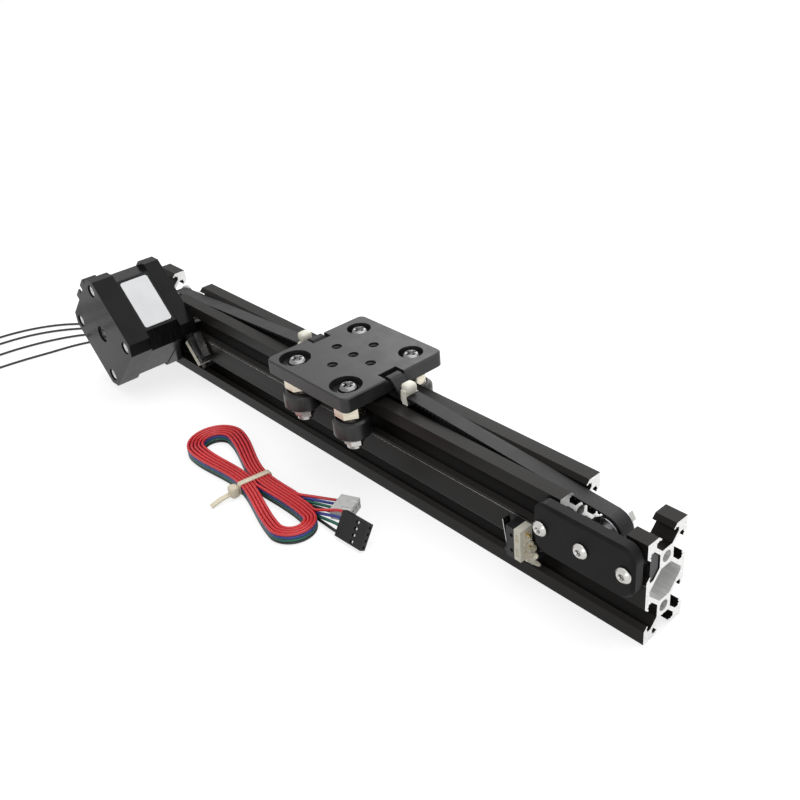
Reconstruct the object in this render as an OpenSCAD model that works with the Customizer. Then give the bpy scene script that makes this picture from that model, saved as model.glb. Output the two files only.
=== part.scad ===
// Belt driven linear axis on a slotted rail, with a stepping motor, a four-wheel carriage,
// an idler, two lever switches and their leads. Millimetres, +Z up.
// The origin is the middle of the rail's underside. +X runs towards the idler,
// -Y is the side that carries the motor, the idler plate and the switches.

/* [Rail] */
// Length of the rail
rail_l = 310; // [280:1:420]
// Width of one square cell of the rail's section
rail_w = 20; // [20:0.5:24]
// Width of a slot's mouth at the face of the rail
mouth_w = 9.16; // [8.6:0.02:9.4]
// Width of a slot's throat
throat_w = 6.2; // [5.8:0.1:6.6]
// Thickness of the lips beside a throat
lip_t = 1.8; // [1.6:0.1:2.2]
// Width of the chamber behind the lips
chamber_w = 11.2; // [10:0.1:12]
// Depth of a slot from face to floor
slot_depth = 6.5; // [6:0.1:7]
// Thickness of the slanted webs
web_t = 1.4; // [1:0.1:1.8]
// Diameter of the bore through each core
core_bore_d = 4.2; // [3.2:0.1:5]
// Length of rail left beyond the motor window
stub_l = 14; // [12:0.5:24]
// Length of rail left beyond the idler window
bridge_l = 8; // [8:0.5:20]
// Length of each pulley window
window_l = 25.6; // [24:0.2:30]
// Height of the floor of the pulley windows
window_z = 24; // [22.5:0.1:25]

/* [Belt drive] */
// Width of the belt
belt_w = 6; // [5:0.1:6]
// Pitch of the belt's teeth
belt_pitch = 2; // [2:1:2]
// Thickness of the belt without its teeth
belt_back = 0.63; // [0.5:0.01:0.8]
// Height of a belt tooth
belt_tooth_h = 0.75; // [0.6:0.01:0.8]
// Number of teeth on the drive pulley
pulley_teeth = 20; // [18:1:21]
// Radial gap between the belt's back strip and what it runs on
belt_gap = 0.06; // [0.04:0.01:0.1]
// Diameter of the drive pulley's flanges
pulley_flange_d = 15; // [14.4:0.1:16]
// Outside diameter of the idler's flanged bearings
idler_d = 10; // [9:0.1:11]
// Diameter of the idler bearings' flanges
idler_flange_d = 11.5; // [11:0.1:12]

/* [Motor] */
// Side of the motor's square face
motor_w = 42.3; // [42:0.1:43]
// Length of the motor's body
motor_l = 34; // [34:0.5:60]
// Distance between neighbouring screws on the motor's face
motor_hole_spacing = 31; // [30.6:0.1:31.4]
// Thickness of the front cap
front_cap_t = 7.5; // [7.5:0.5:9]
// Thickness of the rear cap
rear_cap_t = 10.5; // [10.5:0.5:12]
// Diameter of the pilot boss
pilot_d = 22; // [20:0.5:22]
// Height of the pilot boss
pilot_h = 2; // [1.5:0.1:2]
// Diameter of the shaft
shaft_d = 5; // [4:0.1:5]
// Length of shaft in front of the motor's face
shaft_out = 20; // [18:0.5:20]

/* [Carriage] */
// Length of the plate along the rail
plate_l = 50; // [48:0.5:70]
// Width of the plate across the rail
plate_w = 50; // [50:0.5:60]
// Thickness of the plate
plate_t = 6.4; // [6:0.1:8]
// Radius of the plate's corners
plate_r = 3; // [2:0.5:5]
// Distance between wheel axles along the rail
wheel_base = 32; // [30:0.5:50]
// Diameter of a wheel over its rim
wheel_d = 15.2; // [15:0.05:15.4]
// Width of a wheel over its bearings' seats
wheel_w = 8.8; // [8.4:0.1:9.2]
// Distance from the rail's middle to the wheel axles
wheel_y = 16; // [15.9:0.05:16.1]
// Gap between a wheel's flank and the slot's flank
wheel_gap = 0.04; // [0.03:0.01:0.08]
// Place of the carriage along the rail at rest
rest_x = 7; // [-20:1:20]
// Clear height between the rail's top and the plate
plate_gap = 1.6; // [1.6:0.1:3]
// Distance of the four payload holes from the middle one
payload_r = 10.5; // [10:0.5:12]
// Diameter of the payload holes
payload_d = 4.2; // [3.3:0.1:5]

/* [Switches] */
// Length of a switch
switch_l = 12.8; // [12.6:0.1:13.4]
// Width of a switch, away from the rail
switch_w = 5.8; // [5.6:0.1:6.4]
// Depth of the black cover
cover_t = 3.6; // [3.4:0.1:4]
// Depth of the pale base
base_t = 2.9; // [2.6:0.1:3.2]
// Length of a lever from its pin
lever_l = 11.5; // [11:0.1:12.5]
// Tilt of the switch at the motor's end
switch_tilt = 42; // [36:1:46]

/* [Hidden] */
$fn = 48;
eps = 0.01;

// Rail
pilot_room = 0.2;
rail_h = 2 * rail_w;
core_half = rail_w / 2 - slot_depth;
web_off = web_t / 2 * sqrt(2);
shoulder_depth = rail_w / 2 - chamber_w / 2 - web_off;
throat_depth = (mouth_w - throat_w) / 2;
axis_z = 1.5 * rail_w;
slot_z = rail_w / 2;
motor_x = -(rail_l / 2 - stub_l - window_l / 2);
idler_x = rail_l / 2 - bridge_l - window_l / 2;
relief_w = 1;
relief_h = 0.55;

// Belt and pulleys
pitch_line = 0.254;
tip_r = pulley_teeth * belt_pitch / (2 * PI) - pitch_line;
belt_t = belt_back + belt_tooth_h;
drive_in = tip_r;
drive_out = drive_in + belt_back;
idler_in = idler_d / 2 + belt_gap + belt_tooth_h;
idler_out = idler_in + belt_back;
span = idler_x - motor_x;
tooth_w = 1.2;
tooth_tip_w = 0.7;
run_margin = 6;
idler_wrap_teeth = 4;
wrap_steps = 24;
flange_gap = 0.3;
flange_t = 1;
pulley_groove_r = 0.56;
hub_d = 11;
hub_l = 3.4;
grub_d = 3;

// Motor
motor_cut = 4.1;
stack_w = 41.8;
stack_cut = 7.4;
stack_l = motor_l - front_cap_t - rear_cap_t;
rear_z = motor_l - rear_cap_t;
corner_r = motor_hole_spacing / sqrt(2);
m3_r = 1.5;
fit = 0.05;
pilot_bore_r = 4.6;
cap_cavity_r = 17.5;
cap_floor = 3.5;
stator_bore_r = 12.7;
yoke_r = 16.6;
pole_w = 4;
coil_w = 7;
coil_in = 13.4;
coil_out = 16.2;
coil_over = 2.6;
rotor_r = 12.3;
motor_bearing_r = 8;
motor_bearing_t = 5;
front_bearing_z = 0.5;
rear_bearing_z = motor_l - 1 - motor_bearing_t;
rear_recess_r = 4;
rear_screw_floor = motor_l - 7;
head_r = 2.75;
head_h = 3;
head_room = 0.25;
mount_screw_l = 18;
mount_head_h = 2.6;
shaft_flat_l = 14;
shaft_flat_t = 0.5;
label_size = [24.2, 13.6];
label_z = 9;
label_t = 0.15;
label_r = 1.2;
socket_size = [16, 7, 7];
socket_out = 4.5;
socket_wall = 0.9;
socket_floor = 1;
socket_key = 4;
socket_y = motor_w / 2 + socket_out - socket_size[1];
socket_z = motor_l - 1.8 - socket_size[2] / 2;
pins = 6;
pin_w = 0.5;
pin_pitch = 2;

// Idler plate
idler_plate_l = 40;
idler_plate_h = 19.4;
idler_plate_t = 5.5;
idler_plate_r = 5;
idler_ease = 1;
idler_screw_x = 16.5;
button_d = 5.7;
button_h = 1.7;
idler_body_w = 3;
idler_flange_t = 1;
idler_half = idler_body_w + idler_flange_t;
idler_ring_r = 2.6;
idler_nut_af = 5.5;
idler_nut_h = 2.4;
axle_washer = 2;
axle_l = idler_plate_t + rail_w / 2 + idler_half + axle_washer + idler_nut_h + 0.6;
tee_l = 8;
tee_gap = 0.15;

// Carriage
plate_z = rail_h + plate_gap;
plate_top = plate_z + plate_t;
plate_ease = 0.5;
wheel_z = axis_z;
rim_reach = rail_w / 2 - (wheel_y - wheel_d / 2);
rim_half = mouth_w / 2 - rim_reach - wheel_gap * sqrt(2);
wheel_side_r = wheel_d / 2 - (wheel_w / 2 - rim_half);
bearing_r = 5;
bearing_bore_r = 2;
bearing_t = 4;
bearing_split = 0.5;
race_inner_r = 3.1;
race_gap = 0.06;
wheel_lip_r = 4.1;
m4_r = 2;
sink_depth = 3;
near_sink_d = 12.8;
far_sink_d = 10;
pan_d = 7.6;
pan_h = 2.6;
ecc = 0.8;
ecc_shoulder_d = 7.1;
ecc_af = 10;
spacer_d = 10;
shim_t = 0.8;
shim_r = 3;
stack_top = wheel_z + bearing_split + bearing_t;
stack_low = wheel_z - bearing_split - bearing_t;
nut_af = 7;
nut_h = 5;
nut_collar_h = 1.4;
nut_collar_d = 6.4;
bar_t = 1.8;
bar_clear = 0.12;
bar_sink = belt_t + bar_clear;
belt_slot = [3.2, 9];
tail_out = 11;
fold_out = 5;
tie_out = 7.5;
tie_w = 2.5;
tie_t = 0.6;
tie_head = [4.6, 5.2, 4];
wheels = [[-1, -1], [1, -1], [-1, 1], [1, 1]];

// Switches
idler_switch_at = [rail_l / 2 - 52.5, 10.7];
motor_switch_top = [motor_x + 29.435, 26.412];
motor_switch_at = motor_switch_top + switch_l * [sin(switch_tilt), -cos(switch_tilt)];
lever_pin = [0.75, 1.8];
lever_t = 0.3;
lever_w = 3.4;
knuckle_r = 0.5;
pin_r = 0.22;
pin_gap = 0.05;
lug_t = 0.7;
lug_h = 1.6;
lug_gap = 0.1;
cover_hole_z = [3.2, 9.6];
cover_hole_r = 0.75;
cover_hole_l = 0.6;
base_slot = [1.5, 0.8, 3.4];
base_slot_z = [1.6, 7.6];
terminal = [3.5, 0.9, 0.6];
terminal_out = 2;
terminal_z = [2, 6.4, 10.8];
idler_lever_open = 9;
motor_lever_open = 19;
button_z = 5.4;
button_r = 0.6;
button_l = 1.6;
button_room = 1.9;
bead_r = 4.6;
bead_z = [2.4, 4];

// Leads and the loose motor cable
lead_d = 1.2;
lead_y = -rail_w / 2 + 3.8;
lead_pitch = 1.3;
lead_sides = 8;
// each route starts from the rail's end
lead_routes = [
    [[-7, -6.2, 11.6], [-15, -6.6, 9.6], [-24, -8, 6], [-33, -10.5, 2.6], [-43, -15, 0.6],
     [-54, -22, 0.6], [-64, -32, 0.6], [-71, -44, 0.6], [-75, -57, 0.6], [-76, -70, 0.6],
     [-74, -82, 0.6], [-69, -92, 0.6]],
    [[-7, -6.4, 10.2], [-14, -7, 8.2], [-22, -9, 4.8], [-31, -12.5, 1.8], [-39, -17, 0.6],
     [-49, -25, 0.6], [-58, -36, 0.6], [-64, -48, 0.6], [-67, -60, 0.6], [-68, -72, 0.6],
     [-66, -84, 0.6], [-62, -95, 0.6]],
    [[-6, -6.8, 8.8], [-13, -8, 6.8], [-21, -11, 3.6], [-28, -15, 1], [-35, -21, 0.6],
     [-43, -31, 0.6], [-49, -43, 0.6], [-53, -56, 0.6], [-55, -69, 0.6], [-55, -82, 0.6],
     [-53, -94, 0.6]],
    [[-6, -7.4, 7.4], [-12, -9.2, 5.4], [-18, -12.5, 2.6], [-23, -17, 0.6], [-28, -25, 0.6],
     [-33, -37, 0.6], [-36, -50, 0.6], [-39, -63, 0.6], [-41, -76, 0.6], [-42, -88, 0.6],
     [-41, -99, 0.6]]];
elbow_out = 0.9;
elbow_rise = 5;
elbow_x = [idler_switch_at[0] + 7.3, idler_switch_at[0] + 8.9,
           motor_switch_at[0] - 8.2, motor_switch_at[0] - 9.7];

// The motor's own cable, unplugged and folded into a hank: four wires side by side, on edge
wire_d = 1.25;
wires = 4;
hank_h = wires * wire_d;
hank_left = [-44.6, -39.8];
hank_right = [24.4, -49.2];
hank_left_r = 12.6;
hank_right_r = 10.8;
hank_waist_r = 6.5;
hank_band = 7;
hank_l = norm(hank_right - hank_left);
tie_share = 0.52;
tie_tail_l = 9;
black_plug = [14, 2.54, 10.2];
black_plug_at = [40.2, -40.8, 0];
black_plug_turn = 3;
black_plug_lean = 33;
white_plug = [8, 9.9, 4.6];
white_plug_at = [31.5, -30.4];
white_plug_turn = 24;
white_socket = [6, 1.2, 1.2];
white_latch = [4, 1.6, 0.6];
black_socket = [8, 1, 1];
black_window = [1.6, 2, 1.2];
black_window_x = 6;
tail_d = 2.4;
white_tail = [[12.1, -38.1, 2.5], [12.7, -36.4, 2.4], [15.5, -34.9, 2.3], [20.5, -34.6, 2.3],
              [25.2, -33.2, 2.3], [27.8, -32.05, 2.3]];
black_tail = [[32.75, -42.15, 2.5], [34.6, -40.6, 3], [37.2, -39.4, 4.6], [40, -39.1, 4.95]];

// ---------- helpers ----------
module along_x(x0, x1) {
    translate([x0, 0, 0]) rotate([90, 0, 90]) linear_extrude(x1 - x0) children();
}
module along_y(y0, y1) {
    translate([0, y1, 0]) rotate([90, 0, 0]) linear_extrude(y1 - y0) children();
}
module rod_y(x, z, y0, y1, r) {
    translate([x, y1, z]) rotate([90, 0, 0]) cylinder(h = y1 - y0, r = r);
}
module ring(h, r_out, r_in) {
    difference() {
        cylinder(h = h, r = r_out);
        translate([0, 0, -1]) cylinder(h = h + 2, r = r_in);
    }
}
// Points along an arc about c, from angle a0 to a1
function arc(c, r, a0, a1, n = 6) =
    [for (i = [0:n]) let (a = a0 + (a1 - a0) * i / n) c + r * [cos(a), sin(a)]];
// A screw with its head's seat at z = 0, head upwards and shank downwards
module button_screw(r, l, head_d, head_h, hex_af) {
    difference() {
        union() {
            translate([0, 0, -l]) cylinder(h = l + eps, r = r);
            cylinder(h = head_h * 0.4, r = head_d / 2);
            translate([0, 0, head_h * 0.4]) cylinder(h = head_h * 0.6, r1 = head_d / 2, r2 = head_d * 0.3);
        }
        translate([0, 0, head_h * 0.35]) cylinder(h = head_h, d = hex_af / cos(30), $fn = 6);
    }
}
module cap_screw(r, l, head_r, head_h, hex_af) {
    difference() {
        union() {
            translate([0, 0, -l]) cylinder(h = l + eps, r = r);
            cylinder(h = head_h, r = head_r);
        }
        translate([0, 0, head_h * 0.45]) cylinder(h = head_h, d = hex_af / cos(30), $fn = 6);
    }
}
module pan_screw(r, l, head_d, head_h) {
    cross_w = 1.1;
    difference() {
        union() {
            translate([0, 0, -l]) cylinder(h = l + eps, r = r);
            cylinder(h = head_h * 0.55, r = head_d / 2);
            translate([0, 0, head_h * 0.55]) cylinder(h = head_h * 0.45, r1 = head_d / 2, r2 = head_d * 0.32);
        }
        for (a = [0, 90]) rotate([0, 0, a])
            translate([-head_d * 0.28, -cross_w / 2, head_h * 0.45]) cube([head_d * 0.56, cross_w, head_h]);
    }
}
// A plate in the XY plane with round corners and eased edges above and below
module eased_plate(l, w, t, r, ease) {
    module slab(dl, dw) {
        profile = [[-dw / 2, ease], [-dw / 2 + ease, 0], [dw / 2 - ease, 0], [dw / 2, ease],
                   [dw / 2, t - ease], [dw / 2 - ease, t], [-dw / 2 + ease, t], [-dw / 2, t - ease]];
        translate([-dl / 2, 0, 0]) rotate([90, 0, 90]) linear_extrude(dl) polygon(profile);
    }
    union() {
        slab(l - 2 * r, w);
        rotate([0, 0, 90]) slab(w - 2 * r, l);
        for (i = [-1, 1], j = [-1, 1]) translate([i * (l / 2 - r), j * (w / 2 - r), 0]) {
            cylinder(h = ease, r1 = r - ease, r2 = r);
            translate([0, 0, ease]) cylinder(h = t - 2 * ease, r = r);
            translate([0, 0, t - ease]) cylinder(h = ease, r1 = r, r2 = r - ease);
        }
    }
}

// ---------- rail ----------
module slot_outline() {
    m = mouth_w / 2;
    h = throat_w / 2;
    c = chamber_w / 2;
    f = core_half - web_off;
    right = [[m + 1, -1], [h, throat_depth], [h, lip_t], [c, lip_t], [c, shoulder_depth], [f, slot_depth]];
    polygon(concat(right, [for (i = [len(right) - 1:-1:0]) [-right[i][0], right[i][1]]]));
    for (s = [-1, 1]) translate([s * (h + c) / 2, lip_t])
        polygon([[-relief_w / 2, eps], [0, -relief_h], [relief_w / 2, eps]]);
}
module rail_section() {
    half = rail_w / 2;
    wall = half - lip_t;
    f = core_half - web_off;
    difference() {
        translate([-half, 0]) square([rail_w, rail_h]);
        slot_outline();
        translate([0, rail_h]) mirror([0, 1]) slot_outline();
        for (z = [slot_z, axis_z]) {
            translate([-half, z]) rotate(-90) slot_outline();
            translate([half, z]) rotate(90) slot_outline();
            translate([0, z]) circle(d = core_bore_d);
        }
        polygon([for (q = [[1, 1], [1, -1], [-1, -1], [-1, 1]])
            each (q[0] * q[1] > 0 ? [[q[0] * f, rail_w + q[1] * (rail_w / 2 - core_half)],
                                     [q[0] * wall, rail_w + q[1] * (rail_w / 2 - wall - web_off)]]
                                  : [[q[0] * wall, rail_w + q[1] * (rail_w / 2 - wall - web_off)],
                                     [q[0] * f, rail_w + q[1] * (rail_w / 2 - core_half)]])]);
    }
}
module rail() color("dimgray") difference() {
    along_x(-rail_l / 2, rail_l / 2) rail_section();
    for (x = [motor_x, idler_x])
        translate([x - window_l / 2, -rail_w, window_z]) cube([window_l, 2 * rail_w, rail_h]);
    rod_y(motor_x, axis_z, -rail_w / 2 - 1, -rail_w / 2 + pilot_h + pilot_room, pilot_d / 2 + pilot_room);
    for (s = [-1, 1]) {
        rod_y(motor_x + s * corner_r, axis_z, -rail_w / 2, rail_w / 2 - lip_t, m3_r + fit);
        rod_y(motor_x + s * corner_r, axis_z, core_half, rail_w / 2 - lip_t, head_r + fit);
    }
}

// ---------- motor, built with its axis along local z, away from the rail ----------
module at_motor() {
    translate([motor_x, -rail_w / 2, axis_z]) rotate([90, 0, 0]) rotate([0, 0, 45]) children();
}
module motor_square(w, cut) {
    h = w / 2;
    polygon([for (a = [0:90:270]) each [
        [h * cos(a) - (cut - h) * sin(a), h * sin(a) + (cut - h) * cos(a)],
        [h * cos(a) - (h - cut) * sin(a), h * sin(a) + (h - cut) * cos(a)]]]);
}
module motor_corners() {
    for (i = [-1, 1], j = [-1, 1]) translate([i, j, 0] * motor_hole_spacing / 2) children();
}
module motor_front_cap() color([0.13, 0.13, 0.14]) at_motor() difference() {
    union() {
        linear_extrude(front_cap_t) motor_square(motor_w, motor_cut);
        translate([0, 0, -pilot_h]) cylinder(h = pilot_h + eps, d = pilot_d);
    }
    translate([0, 0, -pilot_h - 1]) cylinder(h = pilot_h + 4, r = pilot_bore_r);
    translate([0, 0, front_bearing_z]) cylinder(h = front_cap_t, r = motor_bearing_r);
    translate([0, 0, cap_floor]) cylinder(h = front_cap_t, r = cap_cavity_r);
    motor_corners() translate([0, 0, -1]) cylinder(h = front_cap_t + 2, r = m3_r + fit);
}
module motor_stator() color([0.32, 0.32, 0.33]) at_motor() translate([0, 0, front_cap_t]) difference() {
    linear_extrude(stack_l) difference() {
        motor_square(stack_w, stack_cut);
        difference() {
            circle(r = yoke_r);
            for (a = [0:45:315]) rotate(a) translate([stator_bore_r, -pole_w / 2]) square([yoke_r, pole_w]);
        }
    }
    motor_corners() translate([0, 0, -1]) cylinder(h = stack_l + 2, r = m3_r + fit);
}
module motor_windings() color("peru") at_motor() for (a = [0:45:315]) rotate([0, 0, a]) difference() {
    translate([coil_in, -coil_w / 2, front_cap_t - coil_over])
        cube([coil_out - coil_in, coil_w, stack_l + 2 * coil_over]);
    translate([coil_in - 1, -pole_w / 2 - fit, front_cap_t - fit])
        cube([coil_out, pole_w + 2 * fit, stack_l + 2 * fit]);
}
module motor_rear_cap() color([0.13, 0.13, 0.14]) at_motor() difference() {
    translate([0, 0, rear_z]) linear_extrude(rear_cap_t) motor_square(motor_w, motor_cut);
    translate([0, 0, rear_z - 1]) cylinder(h = rear_bearing_z - rear_z + 1, r = cap_cavity_r);
    translate([0, 0, rear_bearing_z - 1]) cylinder(h = motor_bearing_t + 1, r = motor_bearing_r);
    translate([0, 0, motor_l - 2]) cylinder(h = 3, r = rear_recess_r);
    motor_corners() {
        translate([0, 0, rear_screw_floor]) cylinder(h = motor_l, r = head_r + head_room);
        translate([0, 0, rear_z - 1]) cylinder(h = motor_l, r = m3_r + fit);
    }
    translate([-socket_size[0] / 2 - fit, socket_y - fit, socket_z - socket_size[2] / 2 - fit])
        cube(socket_size + [2 * fit, 2 * fit, 2 * fit]);
}
module rounded_square(size, r) {
    square([size[0] - 2 * r, size[1]], center = true);
    square([size[0], size[1] - 2 * r], center = true);
    for (i = [-1, 1], j = [-1, 1]) translate([i * (size[0] / 2 - r), j * (size[1] / 2 - r)]) circle(r = r);
}
module motor_label() color("white") at_motor() translate([stack_w / 2, 0, label_z + label_size[1] / 2])
    rotate([90, 0, 90]) linear_extrude(label_t) rounded_square(label_size, label_r);
module socket_place() {
    at_motor() translate([0, socket_y, socket_z]) children();
}
module motor_socket() color([0.1, 0.1, 0.1]) socket_place() difference() {
    translate([-socket_size[0] / 2, 0, -socket_size[2] / 2]) cube(socket_size);
    translate([-socket_size[0] / 2 + socket_wall, socket_floor, -socket_size[2] / 2 + socket_wall])
        cube([socket_size[0] - 2 * socket_wall, socket_size[1], socket_size[2] - 2 * socket_wall]);
    translate([-socket_key / 2, socket_floor, 0]) cube([socket_key, socket_size[1], socket_size[2]]);
}
module motor_socket_pins() color("gold") socket_place() for (i = [0:pins - 1])
    translate([(i - (pins - 1) / 2) * pin_pitch - pin_w / 2, socket_floor, -pin_w / 2])
        cube([pin_w, socket_size[1] - 2 * socket_floor, pin_w]);
module motor_screws() color([0.2, 0.2, 0.21]) {
    at_motor() motor_corners() translate([0, 0, rear_screw_floor])
        cap_screw(m3_r, rear_screw_floor - 4.8, head_r, head_h, 2.5);
    for (s = [-1, 1]) translate([motor_x + s * corner_r, core_half, axis_z]) rotate([-90, 0, 0])
        cap_screw(m3_r, mount_screw_l, head_r, mount_head_h, 2.5);
}
module motor_bearings() color("silver") at_motor() for (z = [front_bearing_z, rear_bearing_z])
    translate([0, 0, z]) ring(motor_bearing_t - fit, motor_bearing_r - fit / 2, shaft_d / 2 + fit);
module motor_shaft() color("gainsboro") at_motor() difference() {
    translate([0, 0, -shaft_out]) cylinder(h = shaft_out + motor_l - 2.5, d = shaft_d);
    translate([shaft_d / 2 - shaft_flat_t, -shaft_d, -shaft_out - 1])
        cube([shaft_d, 2 * shaft_d, shaft_flat_l + 1]);
}
module motor_rotor() color("dimgray") at_motor() translate([0, 0, front_cap_t + 0.5])
    ring(stack_l - 1, rotor_r, shaft_d / 2);

// ---------- drive pulley ----------
module drive_pulley() color("silver") difference() {
    flange_y = belt_w / 2 + flange_gap;
    union() {
        along_y(-flange_y, flange_y) translate([motor_x, axis_z]) difference() {
            circle(r = tip_r - belt_gap);
            for (i = [0:pulley_teeth - 1]) rotate(i * 360 / pulley_teeth)
                translate([tip_r - belt_gap - belt_tooth_h + pulley_groove_r, 0])
                    circle(r = pulley_groove_r, $fn = 16);
        }
        for (s = [-1, 1]) rod_y(motor_x, axis_z, s * flange_y + (s < 0 ? -flange_t : 0),
            s * flange_y + (s < 0 ? 0 : flange_t), pulley_flange_d / 2);
        rod_y(motor_x, axis_z, -flange_y - flange_t - hub_l, -flange_y - flange_t + eps, hub_d / 2);
    }
    rod_y(motor_x, axis_z, -rail_w, rail_w, shaft_d / 2);
    for (a = [45, 135]) translate([motor_x, -flange_y - flange_t - hub_l / 2, axis_z]) rotate([0, a, 0])
        cylinder(h = hub_d, d = grub_d);
}
module pulley_grub_screws() color([0.15, 0.15, 0.15]) for (a = [45, 135])
    translate([motor_x, -belt_w / 2 - flange_gap - flange_t - hub_l / 2, axis_z]) rotate([0, a, 0])
        translate([0, 0, shaft_d / 2]) difference() {
            cylinder(h = hub_d / 2 - shaft_d / 2 - 0.2, d = grub_d - 2 * fit);
            translate([0, 0, 1.4]) cylinder(h = 3, d = 1.5 / cos(30), $fn = 6);
        }

// ---------- belt ----------
drive_centre = [motor_x, axis_z];
idler_centre = [idler_x, axis_z];
function polar(r, a) = r * [cos(a), sin(a)];
// One tooth as seen from its strip: distance along it and height above it
tooth = [[-tooth_w / 2, 0], [-tooth_tip_w / 2, belt_tooth_h],
         [tooth_tip_w / 2, belt_tooth_h], [tooth_w / 2, 0]];
// Teeth along a straight run from p to q, standing on its left
function straight_teeth(p, q) =
    let (l = norm(q - p), d = (q - p) / l, n = floor((l - run_margin) / belt_pitch),
         start = (l - n * belt_pitch) / 2)
    [for (i = [0:n], e = tooth) p + (start + i * belt_pitch + e[0]) * d + e[1] * [-d[1], d[0]]];
// Teeth round the idler, which point at its axis
function idler_teeth() = let (degree = 180 / PI / idler_in)
    [for (i = [-idler_wrap_teeth:idler_wrap_teeth], e = tooth)
        idler_centre + polar(idler_in - e[1], (i * belt_pitch + e[0]) * degree)];
// Angle at which a straight run leaves wraps of radius ra and rb
function leaving(ra, rb) = acos((ra - rb) / span);
module belt_outside() {
    t = leaving(drive_out, idler_out);
    polygon(concat(arc(idler_centre, idler_out, -t, t, wrap_steps),
                   arc(drive_centre, drive_out, t, 360 - t, wrap_steps)));
}
module belt_inside() {
    t = leaving(drive_in, idler_in);
    off_drive = [for (s = [1, -1]) drive_centre + polar(drive_in, s * t)];
    off_idler = [for (s = [1, -1]) idler_centre + polar(idler_in, s * t)];
    polygon(concat([off_idler[1]], idler_teeth(), [off_idler[0]], straight_teeth(off_idler[0], off_drive[0]),
                   arc(drive_centre, drive_in, t, 360 - t, wrap_steps),
                   straight_teeth(off_drive[1], off_idler[1])));
}
module belt() color([0.12, 0.12, 0.12]) along_y(-belt_w / 2, belt_w / 2) difference() {
    belt_outside();
    belt_inside();
}

// ---------- idler ----------
module at_idler(y) {
    translate([idler_x, y, axis_z]) rotate([90, 0, 0]) children();
}
module idler_plate() color([0.14, 0.14, 0.15]) at_idler(-rail_w / 2) difference() {
    eased_plate(idler_plate_l, idler_plate_h, idler_plate_t, idler_plate_r, idler_ease);
    for (x = [-idler_screw_x, 0, idler_screw_x]) translate([x, 0, -1])
        cylinder(h = idler_plate_t + 2, r = m3_r + fit);
}
module idler_plate_screws() color("silver") at_idler(-rail_w / 2 - idler_plate_t)
    for (x = [-idler_screw_x, idler_screw_x]) translate([x, 0, 0])
        button_screw(m3_r, idler_plate_t + 5, button_d, button_h, 2);
module idler_tee_nuts() color("silver") for (x = [-idler_screw_x, idler_screw_x]) difference() {
    half = rail_w / 2;
    w = chamber_w / 2 - 2 * tee_gap;
    front = lip_t + tee_gap / 2;
    back = slot_depth - 4 * tee_gap;
    slant = shoulder_depth - tee_gap;
    along_x(idler_x + x - tee_l / 2, idler_x + x + tee_l / 2) translate([-half, axis_z]) rotate(-90)
        polygon([[-w, front], [w, front], [w, slant], [w - (back - slant), back],
                 [-w + (back - slant), back], [-w, slant]]);
    rod_y(idler_x + x, axis_z, -rail_w, 0, m3_r + fit);
}
module idler_axle_screw() color("silver") at_idler(-rail_w / 2 - idler_plate_t)
    button_screw(m3_r, axle_l, button_d, button_h, 2);
module idler_spacers() color("gainsboro") {
    at_idler(-idler_half) ring(rail_w / 2 - idler_half, idler_ring_r, m3_r + fit);
    at_idler(idler_half + axle_washer) ring(axle_washer, idler_ring_r, m3_r + fit);
}
module idler_axle_nut() color("silver") at_idler(idler_half + axle_washer + idler_nut_h) difference() {
    cylinder(h = idler_nut_h, d = idler_nut_af / cos(30), $fn = 6);
    translate([0, 0, -1]) cylinder(h = idler_nut_h + 2, r = m3_r + fit);
}
module idler_inner_rings() color("silver") for (y = [0, idler_half])
    at_idler(y) ring(idler_half, idler_ring_r, m3_r + fit);
module idler_outer_rings() color("silver")
    for (s = [-1, 1]) at_idler(0) mirror([0, 0, s < 0 ? 1 : 0]) difference() {
        union() {
            cylinder(h = idler_half, d = idler_d);
            translate([0, 0, idler_body_w + 0.02]) cylinder(h = idler_flange_t - 0.02, d = idler_flange_d);
        }
        translate([0, 0, -1]) cylinder(h = idler_half + 2, r = idler_ring_r + race_gap);
    }

// ---------- carriage ----------
module at_plate() {
    translate([rest_x, 0, plate_z]) children();
}
module at_wheel(i, j) {
    translate([rest_x + i * wheel_base / 2, j * wheel_y, wheel_z]) children();
}
module screw_well(bore_d, sink_d) {
    translate([0, 0, -1]) cylinder(h = plate_t + 2, d = bore_d);
    translate([0, 0, plate_t - sink_depth]) cylinder(h = plate_t, d = sink_d);
}
module carriage_plate() color([0.15, 0.15, 0.16]) at_plate() difference() {
    eased_plate(plate_l, plate_w, plate_t, plate_r, plate_ease);
    for (i = [-1, 1]) {
        translate([i * wheel_base / 2, -wheel_y - ecc, 0]) screw_well(ecc_shoulder_d + 2 * fit, near_sink_d);
        translate([i * wheel_base / 2, wheel_y, 0]) screw_well(2 * (m4_r + fit), far_sink_d);
        translate([i * (plate_l / 2 - bar_t - belt_slot[0] / 2) - belt_slot[0] / 2, -belt_slot[1] / 2, -1])
            cube([belt_slot[0], belt_slot[1], plate_t + 2]);
        translate([i * (plate_l / 2 - bar_t / 2) - bar_t, -belt_slot[1] / 2, plate_t - bar_sink])
            cube([2 * bar_t, belt_slot[1], plate_t]);
    }
    for (p = [[0, 0], [1, 0], [-1, 0], [0, 1], [0, -1]])
        translate([p[0] * payload_r, p[1] * payload_r, -1]) cylinder(h = plate_t + 2, d = payload_d);
}
module wheel_screws() color("silver") for (w = wheels)
    translate([rest_x + w[0] * wheel_base / 2, w[1] * wheel_y, plate_top - sink_depth])
        pan_screw(m4_r, plate_top - sink_depth - stack_low + nut_h + 0.5, pan_d, pan_h);
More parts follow.
